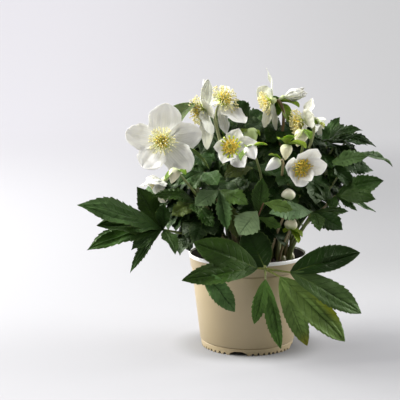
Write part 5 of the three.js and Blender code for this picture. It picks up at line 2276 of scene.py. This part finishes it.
# ---- pot and potting mix
@dataclass(frozen=True)
class Pot:
    """The moulded pot: a tapered wall with a collar under its rolled lip and a notched foot.

    notches are the turn of a group from first_notch in degrees, its notches' width and their height.
    Each group stands four times round the foot.
    """

    height: float = 97.0
    rim_radius: float = 60.0
    foot_radius: float = 47.6
    wall: float = 1.6
    sides: int = 192
    foot_band: float = 7.0
    skirt_step: float = 0.7
    collar: float = 14.0
    collar_step: float = 0.8
    lip: float = 1.4
    lip_roll: float = 0.8
    groove: float = 0.7
    floor_underside: float = 4.2
    floor_thickness: float = 1.6
    quarters: int = 4
    first_notch: float = -103.0
    notches: Sequence[tuple[float, float, float]] = (
        (0, 18.0, 4.0), (18, 3.2, 2.2), (25, 2.6, 2.8), (32, 2.6, 2.2), (39, 2.6, 2.8), (45, 3.4, 2.2),
        (51, 2.6, 2.8), (58, 2.6, 2.2), (65, 2.6, 2.8), (72, 3.2, 2.2))

    def radius(self, z: float) -> float:
        """Returns the wall's outer radius at a height."""
        return self.foot_radius + (self.rim_radius - self.collar_step - self.foot_radius) * z / self.height

    def profile(self) -> list[tuple[float, float]]:
        """Returns the wall and floor as (radius, height), from the floor's under side round the outside."""
        return [*self.foot_profile(), *self.collar_profile(), *self.inside_profile()]

    def foot_profile(self) -> list[tuple[float, float]]:
        """Draws the floor's under side, the foot and its band.

        Returns:
            The (radius, height) pairs in millimetres.
        """
        r, band = self.radius, self.foot_band
        skirt, inner = r(0) - self.skirt_step, r(0) - self.skirt_step - self.wall
        return [
            (0, self.floor_underside),
            (r(self.floor_underside) - self.skirt_step - self.wall, self.floor_underside),
            (inner, 0.25), (inner + 0.25, 0), (skirt - 0.3, 0), (skirt, 0.3),
            (r(band) - self.skirt_step, band - 0.6), (r(band) - self.skirt_step - self.groove, band),
            (r(band) - self.skirt_step - self.groove, band + 0.5), (r(band) - 0.2, band + 0.7),
            (r(band), band + 0.95),
        ]

    def collar_profile(self) -> list[tuple[float, float]]:
        """Draws the wall below the collar, the collar, and the lip rolled over its top.

        Returns:
            The (radius, height) pairs in millimetres.
        """
        r, foot, step = self.radius, self.height - self.collar, self.collar_step
        out, up = self.rim_radius - self.lip_roll, self.height - self.lip_roll
        roll = [(out + self.lip_roll * math.cos(t), up + self.lip_roll * math.sin(t))
                for t in np.linspace(0, math.pi, 9)]
        return [
            (r(foot - 2), foot - 1.6), (r(foot - 1) - self.groove, foot - 1.2),
            (r(foot - 1) - self.groove, foot - 0.4), (r(foot) + step - 0.25, foot - 0.25),
            (r(foot) + step, foot + 0.15), (r(93) + step, 93.0), (r(93) + step + 0.25, 93.4),
            (self.rim_radius, self.height - self.lip), *roll,
        ]

    def inside_profile(self) -> list[tuple[float, float]]:
        """Draws the wall's inside and the floor's top.

        Returns:
            The (radius, height) pairs in millimetres.
        """
        wall, floor = self.wall, self.floor_underside + self.floor_thickness
        inner, low = self.rim_radius - wall - self.collar_step, self.radius(floor) - wall
        return [(inner + 0.3, self.height - 2.4), (inner, self.height - 4.0), (low, floor + 1.0),
                (low - 1.0, floor), (0, floor)]

    def build(self) -> None:
        """Builds the pot in place of its plain solid."""
        cut = lathe(self.profile(), self.sides)
        for turn, width, height in self.notches:
            sizes = {"Count": self.quarters, "First": math.radians(self.first_notch + turn),
                     "Width": width * METRE, "Height": height * METRE}
            cut = notch_tree().grow(cut.mesh("cut", (), 40), sizes)
        add_piece("moulded_pot", cut.finished(0), (POT_PLASTIC,), "pot", sharp=35)


@dataclass(frozen=True)
class PottingMix:
    """The potting mix, rough on top and strewn with crumbs.

    waves are what roughens it: each one's height, pace and start.
    """

    pot: Pot
    top: float = SOIL_TOP
    rings: int = 26
    sides: int = 96
    roughness: float = 1.1
    mound: float = 4.0
    waves: Sequence[tuple[float, float, float]] = ((0.5, 0.11, 0.3), (0.35, 0.31, 1.7), (0.25, 0.83, 4.0))

    def radius(self, z: float) -> float:
        """Returns how far it reaches at a height, a gap short of the pot's inside."""
        return self.pot.radius(z) - self.pot.wall - 2 * GAP - self.pot.collar_step * z / self.pot.height

    def body(self) -> Shape:
        """Builds its block, with the top roughened and heaped in the middle.

        Returns:
            Its shape.
        """
        bottom = self.pot.floor_underside + self.pot.floor_thickness + GAP
        edge = self.radius(self.top)
        profile = [(0, bottom), (self.radius(bottom), bottom), (edge, self.top - 0.6)]
        profile += [(edge * (1 - i / self.rings), self.top) for i in range(1, self.rings)] + [(0, self.top)]
        block = lathe(profile, self.sides)
        x, y, z = block.points.T
        away = np.hypot(x, y)
        height = sum(a * np.sin(x * f + p) * np.cos(y * f * 1.3 - p) for a, f, p in self.waves)
        inner = (z > self.top - 0.1) & (away < edge - 1)
        points = block.points.copy()
        mound = smooth(edge - 1, 0.55 * edge, away)
        points[inner, 2] += self.roughness * (height[inner] - 0.25) + self.mound * mound[inner]
        return replace(block, points=points)

    def build(self) -> None:
        """Builds the potting mix in place of its plain solid."""
        body = self.body()
        surface = Shape.of(body.points, *self.faces_on_top(body))
        crumbs = crumb_tree().grow(surface.mesh("surface", (), 40), {"Coat": SOIL})
        add_piece("potting_mix_fill", Shape.joined([body, crumbs.finished(0)]), (SOIL,),
                  "potting_mix", sharp=60)

    def faces_on_top(self, body: Shape) -> tuple[Array, Array]:
        """Picks the faces that lie on top, clear of the pot's wall.

        Args:
            body: the block.

        Returns:
            Their corners and their sizes.
        """
        clear = self.pot.radius(self.top) - 6
        kept = []
        for corners in np.split(body.corners, np.cumsum(body.sizes)[:-1]):
            points = body.points[corners]
            if (points[:, 2] > self.top - 4).all() and np.hypot(*points[:, :2].T).max() < clear:
                kept.append(corners)
        return np.concatenate(kept), np.array([len(corners) for corners in kept])


# ---- studio
@dataclass(frozen=True)
class Lamp:
    """A soft square lamp that looks at a point."""

    name: str
    place: Point
    aim: Point
    side: float
    watts: float
    colour: Colour = (1.0, 1.0, 1.0)

    def build(self) -> None:
        """Hangs the lamp."""
        data = bpy.data.lights.new(self.name, "AREA")
        data.shape = "SQUARE"
        data.size, data.energy, data.color = self.side, self.watts, self.colour
        made = placed(self.name, data)
        made.location = self.place
        made.rotation_mode = "QUATERNION"
        look = np.array(self.aim, float) - np.array(self.place, float)
        made.rotation_quaternion = Vector(look).to_track_quat("-Z", "Y")


@dataclass(frozen=True)
class Studio:
    """The backdrop, lamps and camera, in metres."""

    floor_radius: float = 2.6
    sweep: float = 1.0
    wall_top: float = 3.2
    paper: float = 0.1
    camera_place: Point = (-0.0488, -1.180, 0.327)
    camera_pitch: float = 8.5
    focal_pixels: float = 1170.0
    frame_pixels: float = 400.0
    sensor: float = 36.0
    air: Colour = (0.93, 0.95, 1.0)
    air_glow: float = 0.02
    lamps: Sequence[Lamp] = (
        Lamp("left_back", (-1.6, 0.6, 1.25), (0, 0, 0.12), 1.1, 84.0, (1.0, 1.0, 0.99)),
        Lamp("left_front", (-1.7, -0.35, 1.35), (0, 0, 0.12), 1.1, 48.0, (1.0, 0.985, 0.95)),
        Lamp("right", (1.8, 0.35, 0.9), (0, 0, 0.15), 1.2, 50.0, (0.98, 0.98, 0.98)),
        Lamp("overhead", (-0.1, 0.3, 2.0), (0, 0, 0.12), 1.2, 12.0),
    )

    def build(self) -> None:
        """Sets the studio up."""
        self.build_backdrop()
        for lamp in self.lamps:
            lamp.build()
        self.build_camera()
        world = bpy.data.worlds.new("studio_air")
        world.use_nodes = True
        background = world.node_tree.nodes["Background"].inputs
        background["Color"].default_value = (*self.air, 1.0)
        background["Strength"].default_value = self.air_glow
        bpy.context.scene.world = world
        bpy.context.scene.view_settings.view_transform = "Standard"

    def build_backdrop(self) -> None:
        """Lays a round floor that sweeps up into a wall."""
        wall, top, paper = self.floor_radius + self.sweep, self.wall_top, self.paper
        bend = [(self.floor_radius + self.sweep * math.sin(t), self.sweep * (1 - math.cos(t)))
                for t in np.linspace(0, math.pi / 2, 14)]
        profile = [(0.0, 0.0), *bend, (wall, top), (wall + paper, top), (wall + paper, -paper), (0.0, -paper)]
        shape = lathe([(r / METRE, z / METRE) for r, z in profile[::-1]], 96)
        placed("backdrop", shape.mesh("backdrop", (PAPER,), 30))

    def build_camera(self) -> None:
        """Puts the camera in front of the plant, looking slightly down."""
        data = bpy.data.cameras.new("camera")
        data.sensor_width = self.sensor
        data.lens = self.sensor * self.focal_pixels / self.frame_pixels
        made = placed("camera", data)
        made.location = self.camera_place
        made.rotation_euler = (math.radians(90 - self.camera_pitch), 0, 0)
        bpy.context.scene.camera = made


def main() -> None:
    """Builds the plant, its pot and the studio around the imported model."""
    logging.basicConfig(level=logging.INFO, format="%(name)s %(message)s", stream=sys.stderr)
    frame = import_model()
    LOG.info("%d plain solids", len(frame["nodes"]))
    pot = Pot()
    for part in (Studio(), pot, PottingMix(pot), Foliage(), Blossom()):
        part.build()


if __name__ == "__main__":
    main()
